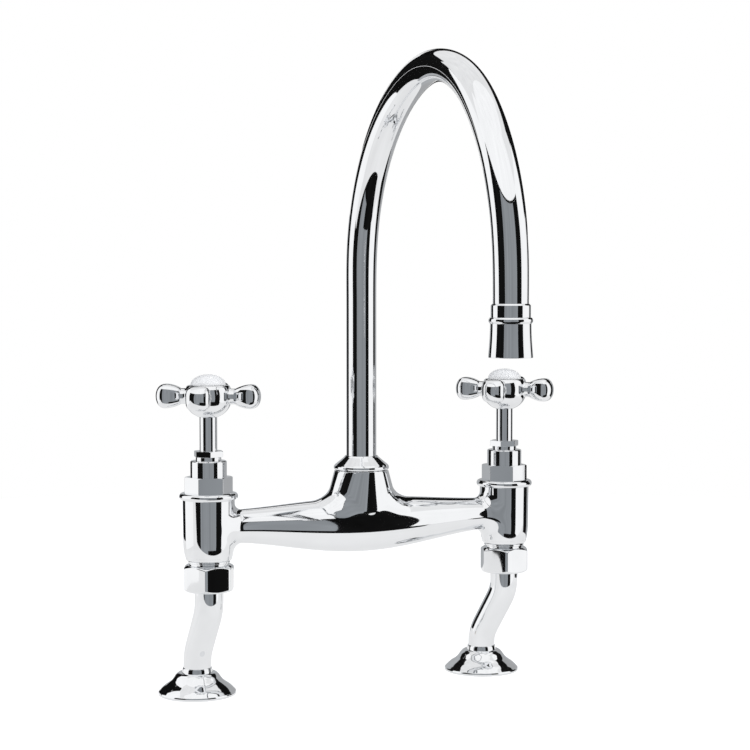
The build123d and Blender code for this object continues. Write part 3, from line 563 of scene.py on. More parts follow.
# ------------------------------------------------------------------ spout
def spout_line():
    """Centre line of the spout and its headings, with eased bends, from collar to outlet."""
    first, last = low("spout_tube")[2], low("outlet_shroud")[2] + 18.2
    bends_from, bends_to = BOSS_TOP + 124.4, 262.83
    bends = ((119.9, 74.1), (86.2, 60.2), (132.0, 45.7))      # radius, degrees
    runs = [(bends_from - first, 0.0)]
    runs += [(radius * radians(angle), radians(angle)) for radius, angle in bends]
    runs += [(bends_to - last, 0.0)]
    place, heading, s = smooth_path(runs, (0.0, first))
    miss = np.array([-OUTLET[1], last]) - place[-1]
    part = np.clip((s - runs[0][0]) / (s[-1] - runs[0][0] - runs[-1][0]), 0, 1)
    place = place + miss * (part * part * (3 - 2 * part))[:, None]
    return place, heading, s, runs


class TAP_OT_spout(Operator):
    """Bends the spout's tube and turns the collar at its foot"""
    bl_idname = "tap.spout"
    bl_label = "Spout"

    def execute(self, context):
        shape = context.scene.tap_shape
        place, heading, s, runs = spout_line()
        bent = np.clip(np.minimum(s - runs[0][0], s[-1] - runs[-1][0] - s) / 30 + 0.5, 0, 1)
        across = TUBE_RADIUS * (1 + shape.tube_flatten * bent)
        in_plane = TUBE_RADIUS * (1 - shape.tube_flatten * 0.6 * bent)
        tube = swept_tube(place, heading, across, in_plane, TUBE_BORE, shape.round_steps)
        turned = moved(tube, np.diag([-1.0, -1.0, 1.0]))
        chrome = chrome_plate("tube_chrome", 0.6)
        piece("gooseneck", turned, "spout", chrome, "spout_tube")

        base, top = low("spout_collar")[2], high("spout_collar")[2]
        edge = shape.edge
        corners = [(9.83, base), (14.2, base), (14.2, top - 8.9), (16.3, top - 8.9),
                   (17.3, top - 8.5), (17.6, top - 7.6), (17.5, top - 6.6), (17.1, top - 6.05),
                   (16.6, top - 5.5), (13.6, top - 3.1), (11.0, top - 0.9), (10.4, top),
                   (9.83, top)]
        radii = [0.2, 0.2, 0.3, 0.5, 0.8, 0.8, 0.5, 0.5, 1.0, 12, 1.2, edge, 0.2]
        collar = lathe(corners, radii, SWIVEL, closed=True)
        piece("collar", collar, "bridge", chrome, "spout_collar")
        return {"FINISHED"}


class TAP_OT_outlet(Operator):
    """Turns the outlet's sleeve and the shroud under it"""
    bl_idname = "tap.outlet"
    bl_label = "Outlet"

    def execute(self, context):
        edge = context.scene.tap_shape.edge
        chrome = chrome_plate("outlet_chrome", 0.6)
        top, bead = high("outlet_sleeve")[2], high("outlet_shroud")[2]
        nose = low("outlet_sleeve")[2]
        corners = [(8.325, nose), (10.1, nose), (10.1, bead), (10.6, bead), (10.6, top - 0.9),
                   (9.8, top), (9.575, top), (9.575, top - 9.0), (8.325, top - 9.0)]
        sleeve = lathe(corners, [0.1, 0.1, 0.05, 0.1, 0.3, 0.2, 0.05, 0.1, 0.1], OUTLET,
                       closed=True)
        piece("sleeve", sleeve, "spout", chrome, "outlet_sleeve")

        mouth, neck = low("outlet_shroud")[2], bead - 3.0
        ledge = high("aerator")[2] - 7.0
        skirt = [(11.72, mouth + 2.5), (11.42, mouth + 6), (11.16, mouth + 10),
                 (10.98, mouth + 14), (10.9, neck - 0.2)]
        corners = [(9.0, mouth + 0.4), (9.4, mouth), (11.9, mouth), *skirt,
                   (11.2, neck + 0.05), (11.75, neck + 0.9), (11.75, neck + 2.1),
                   (11.2, bead), (10.2, bead), (10.2, ledge), (9.0, ledge)]
        radii = [0.3, 0.3, edge] + [60] * 4 + [0.3, 0.3, 0.9, 0.9, 0.5, 0.15, 0.2, 0.2]
        shroud = lathe(corners, radii, OUTLET, closed=True)
        piece("shroud", shroud, "spout", chrome, "outlet_shroud")
        return {"FINISHED"}


# ------------------------------------------------------------------ headworks
def upright(side, part, turn=0.0):
    """A part turned by an angle and set on a valve's axis."""
    return moved(part, about_z(turn), (*AXIS[side], 0))


def headwork(side):
    """Bonnet as one surface: the hexagon, then the sleeve and neck turned above it."""
    edge = bpy.context.scene.tap_shape.hex_edge
    bottom, top = BARREL_TOP, high(f"{side}_bonnet")[2]
    sleeve, neck = bottom + 9.7, top - 2.5
    nut = hexagon_nut(26.0, bottom, sleeve, 5.5, 0.55, edge * 0.6, 14.9, 14.1, slope=25)
    body = lathe([(0, sleeve - 1), (11.2, sleeve - 1), (11.2, neck - 0.5), (10.7, neck),
                  (7.85, neck), (7.85, top), (0, top)], [0.1, 0.25, 0.25, 0.15, 0.2], steps=4)
    return upright(side, joined(nut, body), BONNET_TURN[side] + 30)


def gland(side):
    """Small hexagon around the spindle."""
    edge = bpy.context.scene.tap_shape.hex_edge
    top = high(f"{side}_gland_nut")[2]
    nut = hexagon_nut(16.7, top - 3.5, top, 5.6, 0.3, edge * 0.5, 9.4, 9.1, crown=0.5)
    return upright(side, nut, GLAND_TURN[side] + 30)


def stem(side):
    """Spindle, turned from its foot to the narrower end that holds the handle."""
    foot, top = low(f"{side}_spindle")[2] + 1.6, high(f"{side}_spindle")[2]
    corners = [(0, foot), (8.2, foot), (8.2, foot + 3), (5.4, foot + 3), (5.4, top - 12.55),
               (3.6, top - 12.5), (3.6, top), (0, top)]
    return lathe(corners, [0.2, 0.2, 0.3, 0.2, 0.1, 0.2], AXIS[side], turns=96)


class TAP_OT_headworks(Operator):
    """Cuts the bonnets, gland nuts and spindles of both valves"""
    bl_idname = "tap.headworks"
    bl_label = "Headworks"

    def execute(self, context):
        chrome = chrome_plate("headwork_chrome", 0.5)
        for side in SIDES:
            piece(f"{side}_headwork", headwork(side), "bridge", chrome, f"{side}_bonnet")
            piece(f"{side}_gland", gland(side), "bridge", chrome, f"{side}_gland_nut")
            piece(f"{side}_stem", stem(side), f"{side}_handle_set", chrome,
                  f"{side}_spindle")
        return {"FINISHED"}


# ------------------------------------------------------------------ handles
def swelling_arm(neck, wide, start, widest, reach, turns=96):
    """Outer part of an arm along +Z, with four flats.

    Each section is a superellipse of half width w whose exponent is 3.5 and falls to 2 at the
    tip. From the neck, w swells with the sine of the share of the way to the widest place,
    to the power 0.85; beyond it, w and the height follow a quarter of an egg.
    """
    k = np.linspace(0, 1, 18)
    a = np.radians(np.linspace(4, 90, 18))
    width = np.concatenate([[0, neck * 0.9], neck + (wide - neck) * np.sin(pi / 2 * k) ** 0.85,
                            wide * np.maximum(np.cos(a), 0) ** 0.92])
    height = np.concatenate([[start - 0.4, start - 0.4], start + (widest - start) * k,
                             widest + (reach - widest) * np.sin(a) ** 0.96])
    power = np.interp(height, [widest, reach], [3.5, 2.0])[:, None]
    c, s = np.abs(np.cos(full_turn(turns))), np.abs(np.sin(full_turn(turns)))
    radius = width[:, None] * (c ** power + s ** power) ** (-1 / power)
    points = ring_points(radius, height[:, None], turns)
    normals = crossed_normals(points)
    normals[0], normals[-1] = (0, 0, -1), (0, 0, 1)
    return grid(points, normals)


def crosshead(side):
    """Hub and four arms run into it.

    The hub is turned: its radius and height are those of a ball, each to the power 0.93. An
    arm starts as a round collar, with a fillet of radius 3 to the hub, and then swells.
    """
    axis = high(f"{side}_handle_cap")[2] - 13.5
    a = np.radians(np.linspace(242.3, 180.0, 8))
    fillet = np.stack([7.85 + 3.0 * np.cos(a), 14.97 + 3.0 * np.sin(a)], -1)
    collar = lathe([(0, 6.0), (6.3, 6.0), *fillet, (4.85, 16.85), (4.65, 17.0), (0, 17.0)],
                   [0.1] + [3.0] * 8 + [0.1, 0.1], turns=72, steps=3)
    arm = joined(collar, swelling_arm(4.6, 7.5, 17.0, 26.9, ARM_REACH))
    level = np.array([[0, 0, 1.0], [0, 1.0, 0], [-1.0, 0, 0]])
    arms = [moved(arm, about_z(90 * k) @ level) for k in range(4)]
    a = np.radians(np.linspace(23, 114, 19))
    ball = np.stack([14.6 * np.sin(a) ** 0.93,
                     -13.6 * np.sign(np.cos(a)) * np.abs(np.cos(a)) ** 0.93], -1)
    hub = lathe([(0, -12.81), (5.4, -12.81), *ball, (13.1, 6.4), (12.5, 6.8), (9.0, 6.8),
                 (9.0, 2.0), (0, 2.0)],
                [0.15] + [14.0] * 19 + [0.6, 0.5, 0.2, 0.2], steps=3)
    return moved(joined(hub, *arms), about_z(HANDLE_TURN[side] - 90), (*AXIS[side], axis))


def cap_dome(side):
    """Porcelain button: an oval dome over a rim that stands in the hub's recess."""
    top = high(f"{side}_handle_cap")[2]
    seat = top - 6.7
    a = np.radians([90, 78, 66, 54, 42, 30, 18, 8])
    dome = np.stack([10.8 * np.sin(a), seat + 0.4 + 6.3 * np.cos(a)], -1)
    return lathe([(0, seat - 1.6), (8.9, seat - 1.6), (8.9, seat), (10.6, seat), *dome, (0, top)],
                 [0.2, 0.2, 0.4] + [14.0] * 8, AXIS[side])


class TAP_OT_handles(Operator):
    """Turns both crosshead handles and sets a glazed porcelain cap in each"""
    bl_idname = "tap.handles"
    bl_label = "Handles and caps"

    def execute(self, context):
        chrome = chrome_plate("handle_chrome", 0.5)
        glaze = porcelain_glaze()
        for side in SIDES:
            piece(f"{side}_crosshead", crosshead(side), f"{side}_handle_set", chrome,
                  f"{side}_handle")
            piece(f"{side}_cap", cap_dome(side), f"{side}_handle_set", glaze,
                  f"{side}_handle_cap")
        return {"FINISHED"}


# ------------------------------------------------------------------ unions, legs, flanges
def leg_skin(side):
    """Cranked leg: the centre line runs straight down, bends out, slants, bends back and ends
    straight.

    With both bends at one radius, the slant's length and angle follow from how far the tail is
    set off and how far the bends are apart. The tube thins evenly towards its foot.
    """
    shape = bpy.context.scene.tap_shape
    foot, collar = low(f"{side}_leg")[2], high(f"{side}_leg")[2]
    top, upper_bend, lower_bend, radius = collar - 3, collar - 13.0, 19.5, 20.0
    way = TAIL[side] - AXIS[side]
    crank, drop = np.hypot(*way), upper_bend - lower_bend
    straight = sqrt(drop ** 2 + crank ** 2 - 4 * radius * crank)
    slope = atan2(crank - 2 * radius, drop) - atan2(-2 * radius, straight)
    runs = [(top - upper_bend, 0), (radius * slope, slope), (straight, 0),
            (radius * slope, -slope), (lower_bend - foot, 0)]
    place, heading, s = smooth_path(runs, (0, 0), blend=9.0, step=0.8)
    place = place * [crank / place[-1, 0], (top - foot) / place[-1, 1]]
    width = 9.0 - shape.leg_taper * (s / s[-1])
    tube = swept_tube(place, heading, width, width, 6.5, 96)
    turn = about_z(np.degrees(atan2(way[1], way[0])) - 90) @ np.diag([-1.0, 1.0, -1.0])
    flat = lathe([(6.5, top), (11.6, top), (11.6, collar), (6.5, collar)], 0.2, AXIS[side],
                 turns=64, closed=True)
    return joined(moved(tube, turn, (*AXIS[side], top)), flat)


def bell(side):
    """Deck flange: an ogee turned from a small crown out to a thin rim, hollow below."""
    corners = [(22.9, 0), (24.4, 0), (24.5, 1.3), (24.2, 2.1), (23.4, 2.9), (22.2, 4.1),
               (20.4, 5.6), (18.3, 6.9), (16.4, 8.4), (14.9, 10.3), (13.7, 12.0),
               (12.5, 13.2), (11.4, 13.75), (10.4, 13.9), (9.75, 13.9), (9.75, 10.5),
               (10.95, 10.5), (15.6, 6.2), (22.9, 0.6)]
    radii = [0.2, 0.4, 0.6, 1.0] + [25.0] * 9 + [1.0, 0.2, 0.2, 0.5, 0.5, 0.3]
    return lathe(corners, radii, TAIL[side], closed=True, turns=160)


def tail_skin(side):
    """Threaded tail: a tapered collar and a shoulder over a thread with a bore.

    The thread's radius follows a triangle wave of height over pitch minus angle. It fades in
    at the lower end and drops into the relief groove between the two threads.
    """
    bottom, top = low(f"{side}_tail")[2], high(f"{side}_tail")[2]
    centre = TAIL[side]
    turned = lathe([(0, -3), (9.5, -3), (9.5, 2), (15, 2), (15, 6), (9.7, 6),
                    (9.7, top - 3.0), (9.2, top - 0.6), (8.95, top), (0, top)],
                   [0.2, 0.2, 0.3, 0.3, 0.2, 0.5, 1.2, 0.2], centre)
    pitch, depth, turns, end, inner = 1.814, 1.1, 96, 1.9, bottom + 40
    z = np.linspace(bottom, end, int((end - bottom) / pitch * 10))[:, None]
    wave = np.mod(z / pitch - full_turn(turns) / (2 * pi), 1.0)
    tooth = np.clip(np.abs(wave - 0.5) * 2.6 - 0.15, 0, 1)
    lead = np.clip((z - bottom) / 1.5, 0, 1)
    relief = np.clip((0.75 - np.abs(z + 32.45)) / 0.1, 0, 1)
    radius = THREAD_RADIUS - depth * tooth - 0.8 * (1 - lead)
    radius = np.minimum(radius, THREAD_RADIUS - 0.9 * relief)
    points = ring_points(radius, z, turns, centre)
    thread = grid(points, crossed_normals(points))
    ring = np.stack([ring_points(0, inner, turns, centre), ring_points(6.5, inner, turns, centre),
                     ring_points(6.5, bottom, turns, centre), points[0]])
    outward = ring_points(1.0, 0.0, turns)
    face = np.broadcast_to([0, 0, -1.0], outward.shape)
    bore = grid(ring, np.stack([face, -outward, face - outward, face]))
    lid = np.stack([points[-1], ring_points(0, end, turns, centre)])
    cover = grid(lid, np.broadcast_to([0, 0, 1.0], lid.shape))
    return joined(turned, thread, bore, cover)


class TAP_OT_legs(Operator):
    """Makes the union nuts, cranked legs, tails and deck flanges"""
    bl_idname = "tap.legs"
    bl_label = "Unions, legs and flanges"

    def execute(self, context):
        shape = context.scene.tap_shape
        chrome = chrome_plate("leg_chrome", 0.8)
        brass = plain_brass()
        for side in SIDES:
            bottom, top = low(f"{side}_union_nut")[2], high(f"{side}_union_nut")[2]
            nut = hexagon_nut(29.4, bottom, top, 9.2, 0.8, shape.nut_edge, 13.9, 13.6,
                              slope=32, crown=9.0)
            piece(f"{side}_union", upright(side, nut, UNION_TURN[side] + 30), "bridge", chrome,
                  f"{side}_union_nut")
            piece(f"{side}_cranked_leg", leg_skin(side), f"{side}_leg_set", chrome,
                  f"{side}_leg")
            piece(f"{side}_bell", bell(side), f"{side}_leg_set", chrome,
                  f"{side}_deck_flange")
            tail = piece(f"{side}_threaded_tail", tail_skin(side), f"{side}_leg_set", chrome,
                         f"{side}_tail")
            tail.data.materials.append(brass)
            height = np.empty(len(tail.data.polygons) * 3)
            tail.data.polygons.foreach_get("center", height)
            below = (height.reshape(-1, 3)[:, 2] < 1.95 * MM).astype(np.int32)
            tail.data.polygons.foreach_set("material_index", below)
        return {"FINISHED"}


# ------------------------------------------------------------------ finishes
def empty_tree(owner):
    """Node tree of a material or a world, with nothing in it."""
    owner.use_nodes = True
    owner.node_tree.nodes.clear()
    return owner.node_tree


def add_node(tree, kind, inputs, **settings):
    """Shader node whose inputs are values, or the sockets of other nodes that feed them."""
    node = tree.nodes.new(kind)
    for name, value in settings.items():
        setattr(node, name, value)
    for key, value in inputs.items():
        if isinstance(value, bpy.types.NodeSocket):
            tree.links.new(value, node.inputs[key])
        else:
            node.inputs[key].default_value = value
    return node


def new_material(name, **constants):
    """Material with one Principled shader and the constants on its sockets."""
    material = bpy.data.materials.new(name)
    tree = empty_tree(material)
    shader = add_node(tree, "ShaderNodeBsdfPrincipled", constants)
    add_node(tree, "ShaderNodeOutputMaterial", {0: shader.outputs[0]})
    return material, tree, shader


def noise(tree, scale, detail=2.0, stretch=(1, 1, 1)):
    """Noise on Object coordinates, with scale in waves per metre."""
    where = add_node(tree, "ShaderNodeTexCoord", {}).outputs["Object"]
    mapping = add_node(tree, "ShaderNodeMapping", {"Vector": where, "Scale": stretch})
    return add_node(tree, "ShaderNodeTexNoise", {
        "Vector": mapping.outputs["Vector"], "Scale": scale, "Detail": detail}).outputs["Fac"]


def spread(tree, value, low_value, high_value):
    """Maps 0.3 to 0.7 of a noise onto a range."""
    return add_node(tree, "ShaderNodeMapRange", {
        "Value": value, "From Min": 0.3, "From Max": 0.7, "To Min": low_value,
        "To Max": high_value}).outputs["Result"]


def rough(tree, shader, value, low_value, high_value):
    """Roughness that drifts over a range with a noise."""
    tree.links.new(spread(tree, value, low_value, high_value), shader.inputs["Roughness"])


def bump(tree, shader, value, strength, distance):
    """Raises a surface by a value, distance in metres."""
    node = add_node(tree, "ShaderNodeBump", {
        "Height": value, "Strength": strength, "Distance": distance})
    tree.links.new(node.outputs["Normal"], shader.inputs["Normal"])


def tinted(tree, shader, value, colour, darker):
    """Base colour that drifts between a colour and a slightly darker one."""
    ramp = tree.nodes.new("ShaderNodeValToRGB")
    ramp.color_ramp.elements[0].position = 0.3
    ramp.color_ramp.elements[1].position = 0.7
    ramp.color_ramp.elements[0].color = [c * darker for c in colour[:3]] + [1]
    ramp.color_ramp.elements[1].color = list(colour[:3]) + [1]
    tree.links.new(value, ramp.inputs["Fac"])
    tree.links.new(ramp.outputs["Color"], shader.inputs["Base Color"])


def chrome_plate(name, wave):
    """Polished chrome: slightly uneven gloss, and the faint waves that polishing leaves."""
    finish = bpy.context.scene.tap_finish
    gloss = finish.chrome_roughness
    material, tree, shader = new_material(name, Metallic=1.0, IOR=2.9)
    tinted(tree, shader, noise(tree, 60.0), finish.chrome, 0.97)
    rough(tree, shader, noise(tree, 240.0, 3.0), gloss * 0.7, gloss * 1.4)
    bump(tree, shader, noise(tree, 45.0, 1.5), 0.12, 0.00012 * wave)
    return material


def porcelain_glaze():
    """White porcelain under clear glaze, with a breath of unevenness in colour and surface."""
    colour = bpy.context.scene.tap_finish.porcelain
    material, tree, shader = new_material("porcelain_glaze", **{
        "Roughness": 0.5, "Coat Weight": 0.25, "Coat Roughness": 0.15})
    tinted(tree, shader, noise(tree, 120.0), colour, 0.99)
    bump(tree, shader, noise(tree, 160.0, 1.0), 0.03, 0.0001)
    return material


def plain_brass():
    """Machined brass: fine turning marks round the axis and a dull tint here and there."""
    colour = bpy.context.scene.tap_finish.brass
    material, tree, shader = new_material("machined_brass", Metallic=1.0)
    tinted(tree, shader, noise(tree, 90.0, 4.0), colour, 0.8)
    rough(tree, shader, noise(tree, 30.0, 3.0, (1, 1, 40)), 0.22, 0.38)
    bump(tree, shader, noise(tree, 30.0, 2.0, (1, 1, 80)), 0.25, 0.00005)
    return material


def dull(name, colour, roughness, grain):
    """Rubber, fibre, plastic or fired ceramic: a mottled colour over a fine matt grain."""
    material, tree, shader = new_material(name)
    tinted(tree, shader, noise(tree, grain, 4.0), colour, 0.82)
    rough(tree, shader, noise(tree, grain * 3, 2.0), roughness * 0.9, roughness * 1.1)
    bump(tree, shader, noise(tree, grain * 6, 2.0), 0.3, 0.00008)
    return material


def brushed_steel():
    """Stamped steel with straight brushing."""
    material, tree, shader = new_material("stamped_steel", Metallic=1.0)
    tinted(tree, shader, noise(tree, 40.0, 4.0, (1, 30, 1)), (0.55, 0.56, 0.57), 0.85)
    rough(tree, shader, noise(tree, 60.0, 3.0, (1, 30, 1)), 0.25, 0.42)
    bump(tree, shader, noise(tree, 60.0, 3.0, (1, 40, 1)), 0.2, 0.00004)
    return material


class TAP_OT_inner_parts(Operator):
    """Gives the seals, discs, washers and other carried-over pieces their materials"""
    bl_idname = "tap.inner_parts"
    bl_label = "Seals, discs and fixings"

    def execute(self, context):
        finishes = {
            "rubber": dull("seal_rubber", context.scene.tap_finish.rubber, 0.62, 900.0),
            "fibre": dull("red_fibre", (0.36, 0.10, 0.06), 0.8, 700.0),
            "white_plastic": dull("moulded_plastic", (0.8, 0.8, 0.78), 0.45, 400.0),
            "ceramic": dull("fired_ceramic", (0.82, 0.8, 0.74), 0.3, 300.0),
            "steel": brushed_steel(),
            "brass": plain_brass(),
            "chrome": chrome_plate("plain_chrome", 0.5),
            "porcelain": porcelain_glaze(),
        }
        for entry in frame["record"]["subparts"]:
            for slot in frame["nodes"][entry["node"]].material_slots:
                slot.material = finishes[entry["material_slot"]]
        return {"FINISHED"}


# ------------------------------------------------------------------ studio
CAMERA_BEARING = 202.4           # degrees, from the spout's axis to the camera
ROOM = 1.5                       # distance of the walls in front
GROUND, ROOF = -0.95, 2.4        # lowest and highest panels
FLOOR_LEVEL = -0.0002
CAMERA_PLACE = (-0.4303, -1.0663, 0.2558)
CAMERA_DIP, CAMERA_TURN = 2.83, -22.41      # degrees below level, and about the upright
CAMERA_LENS, CAMERA_WIDTH = 86.89, 36.0


def glow(name, strength, colour=(1, 1, 1), streaks=0.0):
    """Light of one strength for a reflector panel, with soft upright streaks if asked."""
    material = bpy.data.materials.new(name)
    tree = empty_tree(material)
    level = spread(tree, noise(tree, 3.0, 3.0, (1, 1, 0.25)), strength * (1 - streaks),
                   strength * (1 + streaks))
    light = add_node(tree, "ShaderNodeEmission", {"Color": (*colour, 1), "Strength": level})
    add_node(tree, "ShaderNodeOutputMaterial", {0: light.outputs[0]})
    return material


def panel(name, points, material):
    """Studio panel from a grid of points in metres, seen only in reflections."""
    vertices, faces, _ = grid(points, np.ones_like(points), around=False)
    obj = mesh_object(name, vertices, faces, material)
    for rays in ("camera", "diffuse", "shadow", "transmission"):
        setattr(obj, f"visible_{rays}", False)


def arc(name, start, end, near, far, material):
    """Panel between two angles from the camera's bearing, positive to its right.

    near and far are the (distance, height) of its edges from the spout's axis: an upright wall
    has one distance, and a level cloth one height.
    """
    bearing = np.radians(CAMERA_BEARING - np.linspace(start, end, 25))
    edges = [np.stack([distance * np.sin(bearing), distance * np.cos(bearing),
                       height + 0 * bearing], -1) for distance, height in (near, far)]
    panel(name, np.stack(edges), material)


def wall(name, start, end, bottom, top, distance, material):
    """Curved upright panel between two angles from the camera's bearing."""
    arc(name, start, end, (distance, bottom), (distance, top), material)


def screen(name, start, end, bottom, top, material):
    """Straight upright panel between two places on the plan."""
    panel(name, np.array([[[*place, height] for place in (start, end)]
                          for height in (bottom, top)]), material)


def ceiling(name, width, front, back, height, material):
    """Level rectangular panel, as far to the left as to the right."""
    panel(name, np.array([[[-width, y, height], [width, y, height]] for y in (front, back)]),
          material)


def studio_world(background):
    """World that is plain background to the camera and in reflections, and gives the tap its
    soft fill light."""
    world = bpy.data.worlds.new("studio")
    bpy.context.scene.world = world
    tree = empty_tree(world)
    rays = add_node(tree, "ShaderNodeLightPath", {}).outputs
    seen = add_node(tree, "ShaderNodeBackground", {"Color": background, "Strength": 1.0})
    fill = add_node(tree, "ShaderNodeBackground", {
        "Color": (0.9, 0.93, 1.0, 1), "Strength": 0.55})
    two = add_node(tree, "ShaderNodeMath", {
        0: rays["Is Camera Ray"], 1: rays["Is Glossy Ray"]}, operation="MAXIMUM")
    three = add_node(tree, "ShaderNodeMath", {
        0: two.outputs[0], 1: rays["Is Transmission Ray"]}, operation="MAXIMUM")
    mix = add_node(tree, "ShaderNodeMixShader", {
        0: three.outputs[0], 1: fill.outputs[0], 2: seen.outputs[0]})
    add_node(tree, "ShaderNodeOutputWorld", {0: mix.outputs[0]})


def pale_floor(reach, background):
    """Round pale floor that is as white as the background where nothing shades it."""
    rim = ring_points(reach, FLOOR_LEVEL, 96)
    ring = np.stack([rim, ring_points(0, FLOOR_LEVEL, 96)])
    material = bpy.data.materials.new("pale_floor")
    tree = empty_tree(material)
    matt = add_node(tree, "ShaderNodeBsdfPrincipled", {
        "Base Color": (0.62, 0.62, 0.62, 1), "Roughness": 0.8, "Specular IOR Level": 0.0})
    camera_ray = add_node(tree, "ShaderNodeLightPath", {}).outputs["Is Camera Ray"]
    level = add_node(tree, "ShaderNodeMapRange", {
        "Value": camera_ray, "To Min": 0.42, "To Max": 0.66}).outputs["Result"]
    light = add_node(tree, "ShaderNodeEmission", {"Color": background, "Strength": level})
    both = add_node(tree, "ShaderNodeAddShader", {0: matt.outputs[0], 1: light.outputs[0]})
    add_node(tree, "ShaderNodeOutputMaterial", {0: both.outputs[0]})
    vertices, faces, _ = grid(ring, np.ones_like(ring))
    floor = mesh_object("floor", vertices, faces, material)
    floor.visible_glossy = False


def soft_lamp(name, place, target, size, power):
    """Square area lamp that lights matt surfaces; the panels stand for it in reflections."""
    data = bpy.data.lights.new(name, "AREA")
    data.shape = "SQUARE"
    data.size = size
    data.energy = power
    lamp = bpy.data.objects.new(name, data)
    lamp.location = place
    way = Vector(target) - Vector(place)
    lamp.rotation_mode = "QUATERNION"
    lamp.rotation_quaternion = way.to_track_quat("-Z", "Y")
    lamp.visible_glossy = False
    bpy.context.scene.collection.objects.link(lamp)


# name, first place, last place, bottom, top, finish
SCREENS = (
    ("left_white", (-0.601, 0.0), (-0.36, 0.347), -0.12, 0.70, "white"),
    ("right_white", (0.557, -0.766), (0.741, -0.137), -0.19, 0.80, "white"),
)
# name, first angle, last angle, bottom, top, distance, finish
WALLS = (
    ("left_black", -82, -33.5, GROUND, 1.05, ROOM, "black"),
    ("front_grey", -33.5, 34, GROUND, 1.05, ROOM, "grey"),
    ("right_black", 34, 63, GROUND, 1.05, ROOM, "black"),
    ("front_gap", -82, 63, 1.05, 1.09, ROOM, "black"),
    ("front_top", -82, 63, 1.09, ROOF, ROOM, "white"),
    ("right_low", 63, 106, GROUND, ROOF, ROOM, "pale"),
    ("left_low", -130, -82, GROUND, ROOF, ROOM, "pale"),
    ("back_left", -180, -99, 0.41, 0.72, 0.52, "black"),
    ("back_left_wedge", -180, -160, 0.48, 0.66, 0.51, "pale"),
    ("back_left_window", -180, -146, -0.15, 0.33, 0.50, "soft_grey"),
    ("back_left_dark", -146, -108, 0.03, 0.40, 0.52, "black"),
    ("back_right_dark", 103, 128, -0.20, 0.50, 0.51, "black"),
    ("back_right", 128, 180, -0.20, 0.30, 0.50, "mist"),
    ("back_right_top", 128, 180, 0.32, 0.40, 0.50, "black"),
    ("back_high", 100, 235, 0.47, 1.08, 0.90, "black"),
    ("back_right_band", 112, 168, 0.36, 0.50, 0.51, "black"),
    ("back_tall", 106, 238, GROUND, ROOF, 1.69, "pale"),
    ("front_low", -2, 63, GROUND, -0.42, ROOM - 0.01, "black"),
)
# name, half width, front edge, back edge, height, finish
CEILINGS = (
    ("top_front", 2.2, -2.2, 0.1, ROOF, "white"),
    ("top_back", 2.2, 0.1, 2.2, ROOF, "pale"),
    ("ground", 2.2, -2.2, 0.05, GROUND, "pale"),
    ("ground_back", 2.2, 0.05, 2.2, GROUND, "mist"),
    ("table", 1.2, -0.20, 0.70, -0.004, "pale"),
)


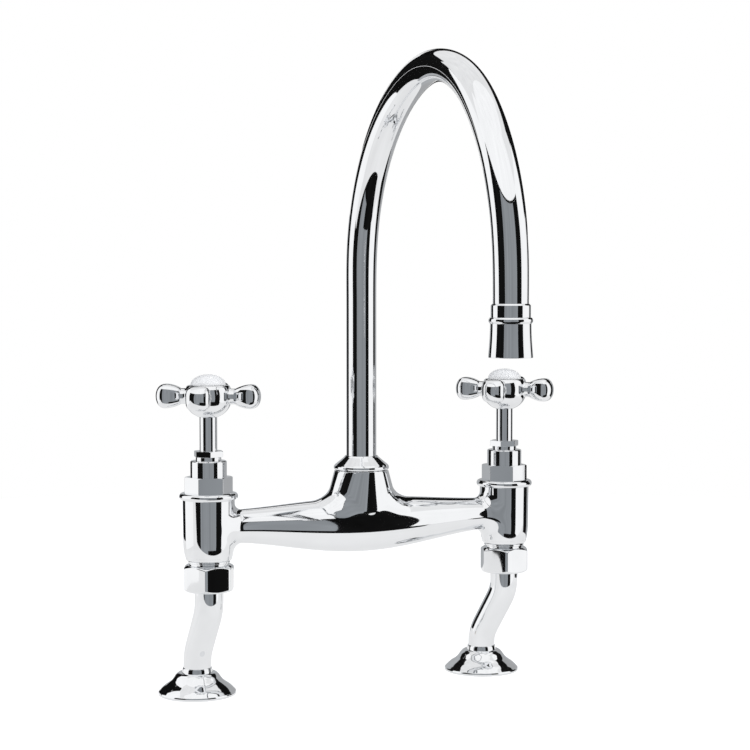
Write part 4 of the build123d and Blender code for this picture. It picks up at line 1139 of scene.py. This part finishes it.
class TAP_OT_studio(Operator):
    """Sets up the pale floor, the reflector panels, the soft lamps and the camera"""
    bl_idname = "tap.studio"
    bl_label = "Studio"

    def execute(self, context):
        scene, studio = context.scene, context.scene.tap_studio
        scene.view_settings.view_transform = "Standard"
        background = tuple(studio.background)
        studio_world(background)
        pale_floor(studio.floor_reach, background)
        white, grey = studio.panel_white, studio.panel_grey
        finish = {
            "white": glow("white_panel", white, streaks=0.04),
            "pale": glow("pale_panel", white * 0.85, streaks=0.06),
            "mist": glow("mist_panel", 0.42, (0.975, 0.99, 1.01), 0.08),
            "soft_grey": glow("soft_grey_panel", grey * 1.5, (0.96, 0.99, 1.02), 0.16),
            "grey": glow("grey_panel", grey, (0.93, 0.985, 1.04), 0.16),
            "black": glow("black_panel", studio.panel_black, streaks=0.4),
        }
        for name, *place, kind in SCREENS:
            screen(name, *place, finish[kind])
        for name, *place, kind in WALLS:
            wall(name, *place, finish[kind])
        for name, *place, kind in CEILINGS:
            ceiling(name, *place, finish[kind])
        arc("ground_front", -82, 63, (0.2, GROUND + 0.01), (ROOM, GROUND + 0.01),
            finish["black"])
        soft_lamp("key", (-1.2, -1.4, 1.9), (0, 0, 0.15), 1.2, 22)
        soft_lamp("side", (1.5, -0.9, 1.3), (0, 0, 0.15), 1.0, 12)
        data = bpy.data.cameras.new("camera")
        data.lens = CAMERA_LENS
        data.sensor_width = CAMERA_WIDTH
        data.clip_start, data.clip_end = 0.05, 50.0
        camera = bpy.data.objects.new("camera", data)
        camera.location = CAMERA_PLACE
        camera.rotation_euler = (radians(90 - CAMERA_DIP), 0, radians(CAMERA_TURN))
        scene.collection.objects.link(camera)
        scene.camera = camera
        return {"FINISHED"}


# ------------------------------------------------------------------ panel and registration
class TAP_PT_sidebar(Panel):
    """Lists the tap's pieces and the settings they use"""
    bl_idname = "TAP_PT_sidebar"
    bl_label = "Bridge tap"
    bl_space_type = "VIEW_3D"
    bl_region_type = "UI"
    bl_category = "Bridge tap"

    def draw(self, context):
        column = self.layout.column(align=True)
        for operator in OPERATORS:
            column.operator(operator.bl_idname)
        for name in ("tap_shape", "tap_finish", "tap_studio"):
            settings = getattr(context.scene, name)
            for key in type(settings).__annotations__:
                column.prop(settings, key)


SETTINGS = (ShapeSettings, FinishSettings, StudioSettings)
OPERATORS = (TAP_OT_inner_parts, TAP_OT_bridge, TAP_OT_spout, TAP_OT_outlet,
             TAP_OT_headworks, TAP_OT_handles, TAP_OT_legs, TAP_OT_studio)


def register():
    """Registers the classes and hangs the settings on the scene."""
    for cls in SETTINGS + OPERATORS + (TAP_PT_sidebar,):
        bpy.utils.register_class(cls)
    bpy.types.Scene.tap_shape = PointerProperty(type=ShapeSettings)
    bpy.types.Scene.tap_finish = PointerProperty(type=FinishSettings)
    bpy.types.Scene.tap_studio = PointerProperty(type=StudioSettings)


def unregister():
    """Takes the settings and the classes away again."""
    del bpy.types.Scene.tap_shape
    del bpy.types.Scene.tap_finish
    del bpy.types.Scene.tap_studio
    for cls in reversed(SETTINGS + OPERATORS + (TAP_PT_sidebar,)):
        bpy.utils.unregister_class(cls)


def main():
    """Makes every piece and the studio."""
    register()
    for operator in OPERATORS:
        group, name = operator.bl_idname.split(".")
        getattr(getattr(bpy.ops, group), name)()


if __name__ == "__main__":
    main()
